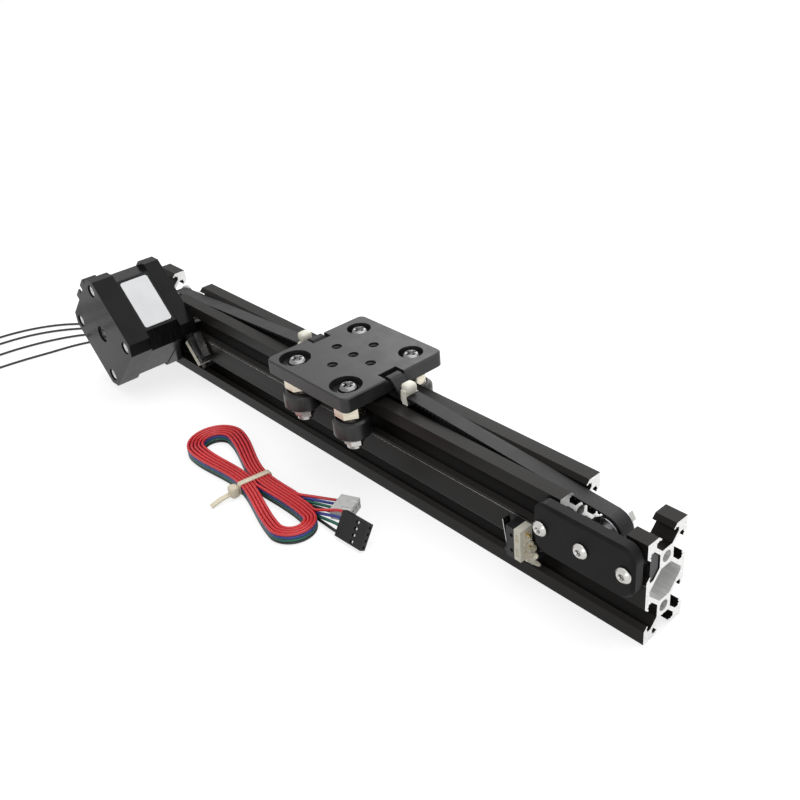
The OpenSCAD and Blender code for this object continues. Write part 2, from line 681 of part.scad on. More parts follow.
module eccentric_spacers() color("silver") for (i = [-1, 1]) difference() {
    low = stack_top + shim_t;
    translate([rest_x + i * wheel_base / 2, -wheel_y - ecc, low]) union() {
        cylinder(h = plate_z - low, d = ecc_af / cos(30), $fn = 6);
        cylinder(h = plate_top - sink_depth - low, d = ecc_shoulder_d);
    }
    translate([rest_x + i * wheel_base / 2, -wheel_y, low - 1]) cylinder(h = 3 * plate_t, r = m4_r + fit);
}
module plain_spacers() color([0.8, 0.76, 0.7]) for (i = [-1, 1])
    translate([rest_x + i * wheel_base / 2, wheel_y, stack_top + shim_t])
        ring(plate_z - stack_top - shim_t, spacer_d / 2, m4_r + fit);
module wheel_shims() color("silver") for (w = wheels) at_wheel(w[0], w[1]) {
    translate([0, 0, bearing_split + bearing_t]) ring(shim_t, shim_r, m4_r + fit);
    translate([0, 0, -bearing_split]) ring(2 * bearing_split, shim_r, m4_r + fit);
}
module wheel_inner_rings() color("silver") for (w = wheels) at_wheel(w[0], w[1])
    for (z = [-bearing_split - bearing_t, bearing_split])
        translate([0, 0, z]) ring(bearing_t, race_inner_r, bearing_bore_r + fit);
module wheel_nuts() color("gainsboro") for (w = wheels)
    translate([rest_x + w[0] * wheel_base / 2, w[1] * wheel_y, stack_low - nut_h]) difference() {
        union() {
            translate([0, 0, nut_collar_h]) cylinder(h = nut_h - nut_collar_h, d = nut_af / cos(30), $fn = 6);
            cylinder(h = nut_collar_h + eps, d = nut_collar_d);
        }
        translate([0, 0, -1]) cylinder(h = nut_h + 2, r = m4_r + fit);
    }
module wheel(i, j) color([0.1, 0.1, 0.1]) at_wheel(i, j) rotate_extrude() difference() {
    polygon([[0, -wheel_w / 2], [wheel_side_r, -wheel_w / 2], [wheel_d / 2, -rim_half],
             [wheel_d / 2, rim_half], [wheel_side_r, wheel_w / 2], [0, wheel_w / 2]]);
    translate([-1, -wheel_w]) square([wheel_lip_r + 1, 2 * wheel_w]);
    for (z = [-wheel_w, bearing_split]) translate([-1, z])
        square([bearing_r + 1, wheel_w - (z < 0 ? bearing_split : 0)]);
}
module wheel_outer_rings(i, j) color("silver") at_wheel(i, j)
    for (z = [-bearing_split - bearing_t, bearing_split])
        translate([0, 0, z + 0.02]) ring(bearing_t - 0.12, bearing_r, race_inner_r + race_gap);
module near_left_wheel() wheel(-1, -1);
module near_right_wheel() wheel(1, -1);
module far_left_wheel() wheel(-1, 1);
module far_right_wheel() wheel(1, 1);
module near_left_rings() wheel_outer_rings(-1, -1);
module near_right_rings() wheel_outer_rings(1, -1);
module far_left_rings() wheel_outer_rings(-1, 1);
module far_right_rings() wheel_outer_rings(1, 1);

// One end of the belt, in the XZ plane: x is outwards from the plate's edge, y is height.
// It comes up through the slot, over the bar and back down onto itself.
module belt_end_outline() {
    low = plate_z;
    high = plate_top - bar_sink;
    lean = 90 - atan2(high - low, fold_out);
    difference() {
        polygon(concat(
            [[tail_out, low - belt_t], [tail_out, low + belt_t],
             [fold_out + belt_t * cos(lean) / (1 + sin(lean)), low + belt_t]],
            arc([0, high], belt_t, lean, 90), arc([-bar_t, high], belt_t, 90, 180),
            arc([-bar_t, low], belt_t, 180, 270)));
        polygon([[-bar_t, low], [-bar_t, high], [0, high], [fold_out, low]]);
    }
}
module both_ends() {
    for (s = [0, 1]) translate([rest_x, 0, 0]) mirror([s, 0, 0]) translate([plate_l / 2, 0, 0]) children();
}
module belt_ends() color([0.12, 0.12, 0.12]) both_ends() along_y(-belt_w / 2, belt_w / 2) belt_end_outline();
module belt_ties() color([0.93, 0.91, 0.84]) both_ends() translate([tie_out - tie_w / 2, 0, 0]) {
    low = plate_z - belt_t - tie_t;
    high = plate_z + belt_t;
    difference() {
        translate([0, -belt_w / 2 - tie_t, low]) cube([tie_w, belt_w + 2 * tie_t, high - low + tie_t]);
        translate([-1, -belt_w / 2, low + tie_t]) cube([tie_w + 2, belt_w, high - low - tie_t]);
    }
    translate([tie_w / 2 - tie_head[0] / 2, -tie_head[1] / 2, high + tie_t - eps]) cube(tie_head);
}

// ---------- switches, built with the lever facing local +x and its pin low ----------
module at_switch(k) {
    if (k == 0) translate([idler_switch_at[0], -rail_w / 2, idler_switch_at[1]])
        mirror([1, 0, 0]) children();
    else translate([motor_switch_at[0], -rail_w / 2, motor_switch_at[1]])
        rotate([0, -switch_tilt, 0]) children();
}
module switch_cover(k) color([0.12, 0.12, 0.12]) at_switch(k) {
    mid = -switch_w / 2;
    lug_y = lever_w / 2 + lug_gap + lug_t / 2;
    difference() {
        union() {
            translate([-cover_t, -switch_w, 0]) cube([cover_t, switch_w, switch_l]);
            for (s = [-1, 1]) translate([-0.5, mid + s * lug_y - lug_t / 2, lever_pin[1] - lug_h / 2])
                cube([lever_pin[0] + 1, lug_t, lug_h]);
        }
        translate([-button_room, mid, button_z]) rotate([0, 90, 0]) cylinder(h = 3, r = button_r + fit);
        for (z = cover_hole_z) translate([-cover_t / 2 - 0.6, -switch_w - eps, z]) rotate([-90, 0, 0])
            cylinder(h = cover_hole_l, r = cover_hole_r);
    }
    translate([lever_pin[0], mid + lug_y + lug_t / 2, lever_pin[1]]) rotate([90, 0, 0])
        cylinder(h = 2 * lug_y + lug_t, r = pin_r);
}
module switch_base(k) color([0.87, 0.83, 0.72]) at_switch(k) difference() {
    translate([-cover_t - base_t, -switch_w, 0]) cube([base_t, switch_w, switch_l]);
    for (z = base_slot_z) translate([-cover_t - (base_t + base_slot[0]) / 2, -switch_w - eps, z])
        cube(base_slot);
    terminals(fit);
}
module switch_terminals() color("silver") for (k = [0, 1]) at_switch(k) terminals(0);
module switch_lever(k, open) color("silver")
    at_switch(k) translate([lever_pin[0], -switch_w / 2, lever_pin[1]]) rotate([0, open, 0]) difference() {
        union() {
            translate([-lever_t / 2, -lever_w / 2, 0.3]) cube([lever_t, lever_w, lever_l - 0.3]);
            translate([0, lever_w / 2, 0]) rotate([90, 0, 0]) cylinder(h = lever_w, r = knuckle_r);
        }
        translate([0, lever_w, 0]) rotate([90, 0, 0]) cylinder(h = 2 * lever_w, r = pin_r + pin_gap);
    }
module switch_button(k, open) color([0.6, 0.1, 0.1]) at_switch(k) {
    reach = lever_pin[0] + (button_z - lever_pin[1]) * tan(open) - lever_t / 2 / cos(open) - 0.05
        - button_r * tan(open);
    translate([reach - button_l, -switch_w / 2, button_z]) rotate([0, 90, 0])
        cylinder(h = button_l, r = button_r);
}
module idler_switch_cover() switch_cover(0);
module motor_switch_cover() switch_cover(1);
module idler_switch_base() switch_base(0);
module motor_switch_base() switch_base(1);
module idler_switch_lever() switch_lever(0, idler_lever_open);
module motor_switch_lever() switch_lever(1, motor_lever_open);
module idler_switch_button() switch_button(0, idler_lever_open);
module motor_switch_button() switch_button(1, motor_lever_open);
module terminals(grow) {
    x = -cover_t - base_t - terminal_out;
    for (z = terminal_z) translate([x, -(switch_w + terminal[1]) / 2, z - terminal[2] / 2] - grow * [1, 1, 1])
        cube(terminal + 2 * grow * [1, 1, 1]);
}
// Beads of set glue that hold each switch and the ends of its leads to the rail
module glue_beads() color([0.85, 0.84, 0.78]) for (k = [0, 1]) difference() {
    at_switch(k) translate([-cover_t - base_t, 0, bead_z[k]]) intersection() {
        sphere(r = bead_r);
        translate([-2, -1, -1] * 2 * bead_r) cube(2 * bead_r * [2, 1, 2]);
    }
    at_switch(k) {
        translate([-cover_t - base_t, -switch_w, -bead_r]) cube([2 * bead_r, switch_w, 2 * switch_l]);
        terminals(0);
    }
    lead_elbows();
}

// ---------- leads ----------
function lead_z(i) = slot_z + (1.5 - i) * lead_pitch;
module lead_elbows() for (i = [0:3]) translate([elbow_x[i], 0, lead_z(i)]) {
    out = -rail_w / 2 - elbow_out;
    rod_y(0, 0, out, lead_y, lead_d / 2);
    if (i > 1) translate([0, out, 0]) {
        sphere(d = lead_d);
        cylinder(h = elbow_rise, d = lead_d);
    }
}
module slot_leads() color([0.1, 0.1, 0.1]) {
    for (i = [0:3]) translate([-rail_l / 2, lead_y, lead_z(i)]) {
        rotate([0, 90, 0]) cylinder(h = elbow_x[i] + rail_l / 2, d = lead_d);
        translate([elbow_x[i] + rail_l / 2, 0, 0]) sphere(d = lead_d);
    }
    lead_elbows();
}
// A tube along a list of points
function unit(v) = v / norm(v);
function along(p, i) = i == 0 ? unit(p[1] - p[0]) : i == len(p) - 1 ? unit(p[i] - p[i - 1])
    : unit(unit(p[i] - p[i - 1]) + unit(p[i + 1] - p[i]));
module tube(p, d, sides) {
    n = len(p);
    pts = [for (i = [0:n - 1]) let (t = along(p, i), u = unit(cross([0, 0, 1], t)), v = cross(t, u))
        for (k = [0:sides - 1]) p[i] + d / 2 * (cos(k * 360 / sides) * u + sin(k * 360 / sides) * v)];
    walls = [for (i = [0:n - 2], k = [0:sides - 1]) let (a = i * sides + k, b = i * sides + (k + 1) % sides)
        each [[a, b, b + sides], [a, b + sides, a + sides]]];
    polyhedron(points = pts, faces = concat([for (w = walls) [w[2], w[1], w[0]]],
        [[for (k = [0:sides - 1]) k], [for (k = [sides - 1:-1:0]) (n - 1) * sides + k]]));
}
module free_lead(i) color([0.1, 0.1, 0.1])
    translate([-rail_l / 2, 0, 0]) tube(concat([[0, lead_y, lead_z(i)]], lead_routes[i]), lead_d, lead_sides);
module lead_1() free_lead(0);
module lead_2() free_lead(1);
module lead_3() free_lead(2);
module lead_4() free_lead(3);

// ---------- the loose motor cable ----------
module at_hank() {
    d = hank_right - hank_left;
    translate(hank_left) rotate(atan2(d[1], d[0])) children();
}
// Half of the hank's outline, from a round end to a little past the waist
module hank_lobe(r) {
    mid = hank_l / 2 + 1;
    circle(r = r);
    polygon([[0, -r], [mid, -hank_waist_r], [mid, hank_waist_r], [0, r]]);
}
module cable_hank() color([0.15, 0.15, 0.18]) at_hank() linear_extrude(hank_h) difference() {
    union() {
        hank_lobe(hank_left_r);
        translate([hank_l, 0]) mirror([1, 0]) hank_lobe(hank_right_r);
    }
    circle(r = hank_left_r - hank_band);
    translate([hank_l, 0]) circle(r = hank_right_r - hank_band);
}
// The stretches of cable between the hank and the two plugs
module cable_tails() color([0.2, 0.2, 0.25]) {
    tube(white_tail, tail_d, lead_sides);
    tube(black_tail, tail_d, lead_sides);
}
module hank_tie() color([0.93, 0.91, 0.84]) at_hank() translate([hank_l * tie_share, 0, 0]) {
    half = hank_waist_r + 0.5;
    difference() {
        translate([-tie_w / 2, -half - tie_t, 0]) cube([tie_w, 2 * (half + tie_t), hank_h + tie_t]);
        translate([-tie_w, -half, -eps]) cube([2 * tie_w, 2 * half, hank_h + eps]);
    }
    head_y = -half - tie_t - tie_head[2];
    translate([-tie_head[0] / 2, head_y, 0.4]) cube([tie_head[0], tie_head[2] + eps, tie_head[1]]);
    translate([-tie_w / 2, head_y - tie_tail_l, 1.6]) cube([tie_w, tie_tail_l + eps, tie_t * 2]);
}
module cable_white_plug() color("ivory") translate([white_plug_at[0], white_plug_at[1], 0])
    rotate([0, 0, white_plug_turn]) translate([-white_plug[0] / 2, -white_plug[1] / 2, 0]) difference() {
        cube(white_plug);
        for (i = [0:wires - 1]) translate([white_plug[0] - white_socket[0],
                white_plug[1] * (i + 0.5) / wires - white_socket[1] / 2, 1.7])
            cube(white_socket + [1, 0, 0]);
        for (i = [0.25, 0.75]) translate([white_plug[0] - white_latch[0],
                white_plug[1] * i - white_latch[1] / 2, white_plug[2] - white_latch[2]])
            cube(white_latch + [1, 0, 1]);
    }
module cable_black_plug() color([0.12, 0.12, 0.12]) translate(black_plug_at)
    rotate([-black_plug_lean, 0, black_plug_turn]) translate([0, -black_plug[1], 0]) difference() {
        cube(black_plug);
        for (i = [0:wires - 1]) translate([black_plug[0], 0, black_plug[2] * (i + 0.5) / wires]) {
            translate([-black_socket[0], (black_plug[1] - black_socket[1]) / 2, -black_socket[2] / 2])
                cube(black_socket + [1, 0, 0]);
            translate([-black_window_x, -1, -black_window[2] / 2]) cube(black_window);
        }
    }

rail();
motor_front_cap();
motor_stator();
motor_windings();
motor_rear_cap();
motor_label();
motor_socket();
motor_socket_pins();
motor_screws();
motor_bearings();
motor_shaft();
motor_rotor();
drive_pulley();
pulley_grub_screws();
belt();
idler_plate();
idler_plate_screws();
idler_tee_nuts();
idler_axle_screw();
idler_spacers();
idler_axle_nut();
idler_inner_rings();
idler_outer_rings();
carriage_plate();
wheel_screws();
eccentric_spacers();
plain_spacers();
wheel_shims();
wheel_inner_rings();
wheel_nuts();
belt_ends();
belt_ties();
near_left_wheel();
near_right_wheel();
far_left_wheel();
far_right_wheel();
near_left_rings();
near_right_rings();
far_left_rings();
far_right_rings();
idler_switch_cover();
motor_switch_cover();
idler_switch_base();
motor_switch_base();
switch_terminals();
idler_switch_lever();
motor_switch_lever();
idler_switch_button();
motor_switch_button();
glue_beads();
slot_leads();
lead_1();
lead_2();
lead_3();
lead_4();
cable_hank();
cable_tails();
hank_tie();
cable_white_plug();
cable_black_plug();
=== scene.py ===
from math import atan2, ceil, cos, pi, radians, sin

import bmesh
import bpy
from mathutils import Matrix, Vector


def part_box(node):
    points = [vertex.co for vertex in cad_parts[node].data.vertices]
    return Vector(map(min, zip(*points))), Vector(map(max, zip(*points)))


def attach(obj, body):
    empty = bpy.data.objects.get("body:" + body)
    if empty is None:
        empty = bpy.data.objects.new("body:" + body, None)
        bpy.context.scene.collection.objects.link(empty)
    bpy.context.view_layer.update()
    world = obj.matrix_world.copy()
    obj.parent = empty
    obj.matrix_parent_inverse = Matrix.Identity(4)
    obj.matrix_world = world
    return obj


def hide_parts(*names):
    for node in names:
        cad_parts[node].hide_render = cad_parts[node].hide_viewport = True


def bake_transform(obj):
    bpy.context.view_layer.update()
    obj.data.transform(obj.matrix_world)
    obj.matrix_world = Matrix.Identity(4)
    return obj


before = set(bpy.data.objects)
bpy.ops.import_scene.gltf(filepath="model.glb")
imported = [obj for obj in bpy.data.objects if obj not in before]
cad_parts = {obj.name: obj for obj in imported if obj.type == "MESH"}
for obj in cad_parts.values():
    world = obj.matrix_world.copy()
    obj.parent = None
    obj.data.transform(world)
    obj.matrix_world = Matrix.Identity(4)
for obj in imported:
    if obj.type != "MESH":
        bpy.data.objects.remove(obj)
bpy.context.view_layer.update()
mm = 0.001  # pieces are set out in millimetres and degrees; the camera, lamps, floor and grains in metres
white = (1, 1, 1)


def newObject(name, data):
    thing = bpy.data.objects.new(name, data)
    bpy.context.collection.objects.link(thing)
    return thing


# nodes that the floor, the world and the finishes are made from
def calc(tree, kind, a, b=0.0, c=0.0):
    node = tree.nodes.new("ShaderNodeMath")
    node.operation = kind
    for socket, value in zip(node.inputs, (a, b, c)):
        if isinstance(value, (int, float)):
            socket.default_value = value
        else:
            tree.links.new(value, socket)
    return node.outputs[0]


def seenDirectly(tree):
    # 1 for the camera and for what shines or shows through
    rays = tree.nodes.new("ShaderNodeLightPath")
    total = rays.outputs["Is Camera Ray"]
    for name in ("Is Glossy Ray", "Is Transmission Ray"):
        total = calc(tree, "MAXIMUM", total, rays.outputs[name])
    return total


def noise(tree, size, stretch, detail):
    # size is the grain in metres
    place = tree.nodes.new("ShaderNodeTexCoord")
    mapping = tree.nodes.new("ShaderNodeMapping")
    mapping.inputs["Scale"].default_value = stretch
    texture = tree.nodes.new("ShaderNodeTexNoise")
    texture.inputs["Scale"].default_value = 1 / size
    texture.inputs["Detail"].default_value = detail
    tree.links.new(place.outputs["Object"], mapping.inputs["Vector"])
    tree.links.new(mapping.outputs[0], texture.inputs["Vector"])
    return texture.outputs["Fac"]


def ramp(tree, factor, places, colours):
    node = tree.nodes.new("ShaderNodeValToRGB")
    for element, place, colour in zip(node.color_ramp.elements, places, colours):
        element.position = place
        element.color = (*colour, 1)
    tree.links.new(factor, node.inputs[0])
    return node.outputs[0]


def bump(tree, height, strength, depth):
    node = tree.nodes.new("ShaderNodeBump")
    node.inputs["Strength"].default_value = strength
    node.inputs["Distance"].default_value = depth
    tree.links.new(height, node.inputs["Height"])
    tree.links.new(node.outputs[0], tree.nodes["Principled BSDF"].inputs["Normal"])


def facing(tree, axis, places):
    # 1 where the surface faces along an axis, either way
    geometry = tree.nodes.new("ShaderNodeNewGeometry")
    parts = tree.nodes.new("ShaderNodeSeparateXYZ")
    tree.links.new(geometry.outputs["True Normal"], parts.inputs[0])
    return ramp(tree, calc(tree, "ABSOLUTE", parts.outputs[axis]), places, ((0, 0, 0), white))


cameraSettings = {
    "place": (0.28384, -0.20135, 0.23064),
    "right": (0.68269, 0.72750, -0.06847),
    "up": (-0.32559, 0.38674, 0.86280),
    "lens": 44.17,
    "sensor": 36,
    "shift": (-0.0370, -0.0238),
    "clip": (0.01, 20),
}


def placeCamera(s):
    data = bpy.data.cameras.new("camera")
    data.lens, data.sensor_width = s["lens"], s["sensor"]
    data.shift_x, data.shift_y = s["shift"]
    data.clip_start, data.clip_end = s["clip"]
    camera = newObject("camera", data)
    right, up = Vector(s["right"]), Vector(s["up"])
    turn = Matrix((right, up, right.cross(up))).transposed()
    camera.matrix_world = Matrix.Translation(s["place"]) @ turn.to_4x4()
    bpy.context.scene.camera = camera


lightSettings = {
    "lamps": {
        "overhead": {"place": (0.1, 0.35, 1.1), "target": (0, 0, 0), "size": 1.3, "power": 9},
        "front": {"place": (0.9, -0.9, 0.55), "target": (0, 0, 0.02), "size": 0.8, "power": 3},
        "back": {"place": (-0.6, 0.9, 0.5), "target": (0, 0, 0.02), "size": 0.7, "power": 4},
    },
    "world": 0.5,
}


def hangLights(s):
    for name, lamp in s["lamps"].items():
        data = bpy.data.lights.new(name, "AREA")
        data.size, data.energy = lamp["size"], lamp["power"]
        light = newObject(name, data)
        light.location = lamp["place"]
        away = Vector(lamp["place"]) - Vector(lamp["target"])
        light.rotation_euler = away.to_track_quat("Z", "Y").to_euler()


def lightWorld(s):
    # plain light on the object, and a white background where the world itself is seen
    world = bpy.data.worlds.new("studio")
    bpy.context.scene.world = world
    world.use_nodes = True
    tree = world.node_tree
    plain = tree.nodes["Background"]
    plain.inputs["Color"].default_value = (*white, 1)
    plain.inputs["Strength"].default_value = s["world"]
    bright = tree.nodes.new("ShaderNodeBackground")
    bright.inputs["Color"].default_value = (*white, 1)
    bright.inputs["Strength"].default_value = 1
    mix = tree.nodes.new("ShaderNodeMixShader")
    tree.links.new(seenDirectly(tree), mix.inputs[0])
    tree.links.new(plain.outputs[0], mix.inputs[1])
    tree.links.new(bright.outputs[0], mix.inputs[2])
    tree.links.new(mix.outputs[0], tree.nodes["World Output"].inputs[0])


floorSettings = {
    "size": 12,
    "drop": 0.0002,  # a hair under everything that lies on it
    "grey": 0.4,
    "roughness": 0.9,
    "specular": 0.1,
    "lift": 0.75,  # glow that only shows where the floor itself is seen
}


def layFloor(s):
    bpy.ops.mesh.primitive_plane_add(size=s["size"], location=(0, 0, -s["drop"]))
    floor = bpy.context.object
    floor.name = "floor"
    material = bpy.data.materials.new("paleFloor")
    material.use_nodes = True
    tree = material.node_tree
    shader = tree.nodes["Principled BSDF"]
    shader.inputs["Base Color"].default_value = (s["grey"],) * 3 + (1,)
    shader.inputs["Roughness"].default_value = s["roughness"]
    shader.inputs["Specular IOR Level"].default_value = s["specular"]
    glow = tree.nodes.new("ShaderNodeEmission")
    tree.links.new(calc(tree, "MULTIPLY", seenDirectly(tree), s["lift"]), glow.inputs["Strength"])
    both = tree.nodes.new("ShaderNodeAddShader")
    tree.links.new(shader.outputs[0], both.inputs[0])
    tree.links.new(glow.outputs[0], both.inputs[1])
    tree.links.new(both.outputs[0], tree.nodes["Material Output"].inputs[0])
    floor.data.materials.append(material)


placeCamera(cameraSettings)
hangLights(lightSettings)
lightWorld(lightSettings)
layFloor(floorSettings)
bpy.context.scene.view_settings.view_transform = "Standard"
print("camera, floor and light stand")


grainSettings = {
    "coarser": 14,  # the blotches of colour and gloss, against the fine grain
    "fineDetail": 3,
    "coarseDetail": 2,
    "stops": (0.3, 0.7),
    "spread": 0.06,  # how far the roughness strays either way
    "bump": 0.35,
}


def grained(name, dark, light, roughness, metallic, grain, stretch=(1, 1, 1), depth=0.00002, sockets=None):
    # a finish whose colour, gloss and surface all follow one grain
    g = grainSettings
    material = bpy.data.materials.new(name)
    material.use_nodes = True
    material.diffuse_color = (*light, 1)
    tree = material.node_tree
    shader = tree.nodes["Principled BSDF"]
    shader.inputs["Base Color"].default_value = (*light, 1)
    shader.inputs["Roughness"].default_value = roughness
    shader.inputs["Metallic"].default_value = metallic
    for socket, value in (sockets or {}).items():
        shader.inputs[socket].default_value = value
    fine = noise(tree, grain, stretch, g["fineDetail"])
    coarse = noise(tree, grain * g["coarser"], stretch, g["coarseDetail"])
    greys = ((roughness - g["spread"],) * 3, (roughness + g["spread"],) * 3)
    tree.links.new(ramp(tree, coarse, g["stops"], (dark, light)), shader.inputs["Base Color"])
    tree.links.new(ramp(tree, coarse, g["stops"], greys), shader.inputs["Roughness"])
    bump(tree, fine, g["bump"], depth)
    return material


# painted shade in recesses: how far the occlusion looks, and the dark colour it paints into the base colour
recessShadeSettings = {
    "reach": 0.0011,
    "samples": 8,
    "stops": (0.6, 0.93),
    "dark": (0.02, 0.02, 0.02),
}


def paintRecessShade(s, material):
    # painted shade: sockets, crosses and other tight corners are darkened in the base colour by ambient
    # occlusion, where shade falls
    tree = material.node_tree
    shader = tree.nodes["Principled BSDF"]
    hidden = tree.nodes.new("ShaderNodeAmbientOcclusion")
    hidden.samples, hidden.only_local = s["samples"], True
    hidden.inputs["Distance"].default_value = s["reach"]
    shade = ramp(tree, hidden.outputs["AO"], s["stops"], (s["dark"], white))
    both = tree.nodes.new("ShaderNodeMix")
    both.data_type, both.blend_type = "RGBA", "MULTIPLY"
    sockets = {socket.identifier: socket for socket in (*both.inputs, *both.outputs)}
    sockets["Factor_Float"].default_value = 1
    tree.links.new(shader.inputs["Base Color"].links[0].from_socket, sockets["A_Color"])
    tree.links.new(shade, sockets["B_Color"])
    tree.links.new(sockets["Result_Color"], shader.inputs["Base Color"])


railSettings = {
    "black": ((0.009, 0.008, 0.0072), (0.016, 0.0145, 0.0135)),
    "roughness": 0.36,
    "metallic": 0.1,
    "gloss": 0.1,
    "grain": 0.0005,
    "dieLines": (0.02, 1, 1),
    "bare": {"Metallic": 0.8, "Roughness": 0.42},
    "bareColours": ((0.72, 0.72, 0.71), (0.9, 0.9, 0.89)),
    "bareGrain": 0.0007,
    "sawLines": (0.06, 1, 1),
    "cutFacing": (0.8, 0.9),
    "cavityReach": 9.3,
    "boreRadius": 2.15,
    "windowFloor": 24,
    "floorDepth": 0.03,
}


def bareAreas(s, material, mask):
    # bare metal, with its own grain, over the black where the mask is 1
    tree = material.node_tree
    metal = tree.nodes.new("ShaderNodeBsdfPrincipled")
    for socket, value in s["bare"].items():
        metal.inputs[socket].default_value = value
    lines = noise(tree, s["bareGrain"], s["sawLines"], grainSettings["fineDetail"])
    colour = ramp(tree, lines, grainSettings["stops"], s["bareColours"])
    tree.links.new(colour, metal.inputs["Base Color"])
    mix = tree.nodes.new("ShaderNodeMixShader")
    tree.links.new(mask, mix.inputs[0])
    tree.links.new(tree.nodes["Principled BSDF"].outputs[0], mix.inputs[1])
    tree.links.new(metal.outputs[0], mix.inputs[2])
    tree.links.new(mix.outputs[0], tree.nodes["Material Output"].inputs[0])


def railFinish(s):
    # black anodised with the die's fine lines; saw cuts, milled floors, bores and the middle cavity are bare
    material = grained("railBlack", *s["black"], s["roughness"], s["metallic"], s["grain"], s["dieLines"],
                       sockets={"Specular IOR Level": s["gloss"]})
    tree = material.node_tree
    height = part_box("rail")[1][2]
    place = tree.nodes.new("ShaderNodeSeparateXYZ")
    tree.links.new(tree.nodes.new("ShaderNodeTexCoord").outputs["Object"], place.inputs[0])
    side = calc(tree, "ABSOLUTE", place.outputs["Y"])
    rise = calc(tree, "ABSOLUTE", calc(tree, "SUBTRACT", place.outputs["Z"], height / 2))
    cavity = calc(tree, "LESS_THAN", calc(tree, "ADD", side, rise), s["cavityReach"] * mm)
    fromCore = calc(tree, "SUBTRACT", rise, height / 4)
    squares = [calc(tree, "MULTIPLY", away, away) for away in (side, fromCore)]
    bore = calc(tree, "LESS_THAN", calc(tree, "ADD", *squares), (s["boreRadius"] * mm) ** 2)
    floor = calc(tree, "COMPARE", place.outputs["Z"], s["windowFloor"] * mm, s["floorDepth"] * mm)
    mask = facing(tree, "X", s["cutFacing"])
    for area in (cavity, bore, floor):
        mask = calc(tree, "MAXIMUM", mask, area)
    bareAreas(s, material, mask)
    return material


# each finish has a name, dark and light colours, roughness, metal, grain, stretch and depth of grain
polished = 0.000005
finishes = {
    "rail": railFinish(railSettings),
    "plate": grained("plateBlack", (0.01, 0.01, 0.0105), (0.017, 0.017, 0.018), 0.42, 0.1, 0.0004,
                     sockets={"Specular IOR Level": 0.5}),
    "bracket": grained("bracketBlack", (0.009, 0.009, 0.0095), (0.014, 0.014, 0.015), 0.42, 0.0, 0.0004,
                       sockets={"Specular IOR Level": 0.08}),
    "motor": grained("motorBlack", (0.004, 0.004, 0.0045), (0.008, 0.008, 0.0085), 0.2, 0.0, 0.0006,
                     sockets={"Specular IOR Level": 0.09}),
    "stack": grained("stackBlack", (0.004, 0.004, 0.0045), (0.009, 0.009, 0.0095), 0.24, 0.0, 0.0004,
                     (1, 8, 1), polished, {"Specular IOR Level": 0.12}),
    "zinc": grained("zincPlate", (0.72, 0.72, 0.73), (0.85, 0.85, 0.86), 0.3, 0.6, 0.0006, depth=polished),
    "copper": grained("copperWire", (0.45, 0.19, 0.08), (0.7, 0.35, 0.17), 0.35, 0.9, 0.0006),
    "label": grained("labelFilm", (0.66, 0.67, 0.68), (0.74, 0.75, 0.76), 0.38, 0.0, 0.0008),
    "blackMoulded": grained("blackMoulded", (0.007, 0.007, 0.0075), (0.013, 0.013, 0.0135), 0.42, 0.0,
                            0.0004, sockets={"Specular IOR Level": 0.3}),
    "gold": grained("goldPlate", (0.72, 0.53, 0.22), (0.83, 0.64, 0.3), 0.28, 1.0, 0.0005),
    "darkSteel": grained("darkSteel", (0.16, 0.16, 0.162), (0.26, 0.26, 0.265), 0.26, 1.0, 0.0005,
                         depth=polished),
    "blackSteel": grained("blackSteel", (0.03, 0.03, 0.032), (0.055, 0.055, 0.06), 0.38, 0.8, 0.0005),
    "bright": grained("brightSteel", (0.5, 0.49, 0.47), (0.62, 0.61, 0.59), 0.24, 1.0, 0.0006,
                      depth=polished),
    "ground": grained("groundSteel", (0.42, 0.42, 0.43), (0.55, 0.55, 0.56), 0.3, 1.0, 0.0005,
                      depth=polished),
    "alloy": grained("bareAlloy", (0.7, 0.7, 0.71), (0.82, 0.82, 0.83), 0.34, 1.0, 0.0005,
                     (1, 6, 1), polished),
    "warm": grained("warmAlloy", (0.56, 0.51, 0.4), (0.76, 0.72, 0.6), 0.24, 1.0, 0.0008,
                    (1, 1, 10), polished),
    "belt": grained("beltRubber", (0.007, 0.007, 0.0075), (0.013, 0.013, 0.0135), 0.5, 0.0, 0.0004,
                    sockets={"Specular IOR Level": 0.3}),
    "wheel": grained("wheelBlack", (0.008, 0.0075, 0.0072), (0.014, 0.013, 0.0125), 0.34, 0.0, 0.0004,
                     (1, 1, 5)),
    "nylon": grained("nylonStrap", (0.72, 0.7, 0.6), (0.84, 0.82, 0.73), 0.36, 0.0, 0.0008,
                     sockets={"Subsurface Weight": 0.25, "Subsurface Radius": (0.002, 0.0018, 0.0012)}),
    "looseNylon": grained("looseNylon", (0.7, 0.62, 0.46), (0.82, 0.75, 0.59), 0.4, 0.0, 0.0008,
                          sockets={"Subsurface Weight": 0.2, "Subsurface Radius": (0.002, 0.0016, 0.001)}),
    "cream": grained("creamMoulded", (0.68, 0.65, 0.54), (0.8, 0.77, 0.67), 0.5, 0.0, 0.0005),
    "red": grained("redMoulded", (0.45, 0.03, 0.05), (0.6, 0.05, 0.08), 0.4, 0.0, 0.0005),
    "glue": grained("setGlue", (0.76, 0.72, 0.56), (0.9, 0.87, 0.74), 0.16, 0.0, 0.0012, depth=0.0002,
                    sockets={"Transmission Weight": 0.6, "IOR": 1.48}),
    "lead": grained("leadBlack", (0.008, 0.008, 0.009), (0.016, 0.016, 0.017), 0.45, 0.0, 0.0008),
    "white": grained("whiteMoulded", (0.76, 0.76, 0.74), (0.85, 0.85, 0.83), 0.42, 0.0, 0.0006,
                     sockets={"Subsurface Weight": 0.15, "Subsurface Radius": (0.002, 0.002, 0.002)}),
}
# painted shade in the sockets and crosses of these steels
for recessShadedFinish in ("darkSteel", "bright"):
    paintRecessShade(recessShadeSettings, finishes[recessShadedFinish])
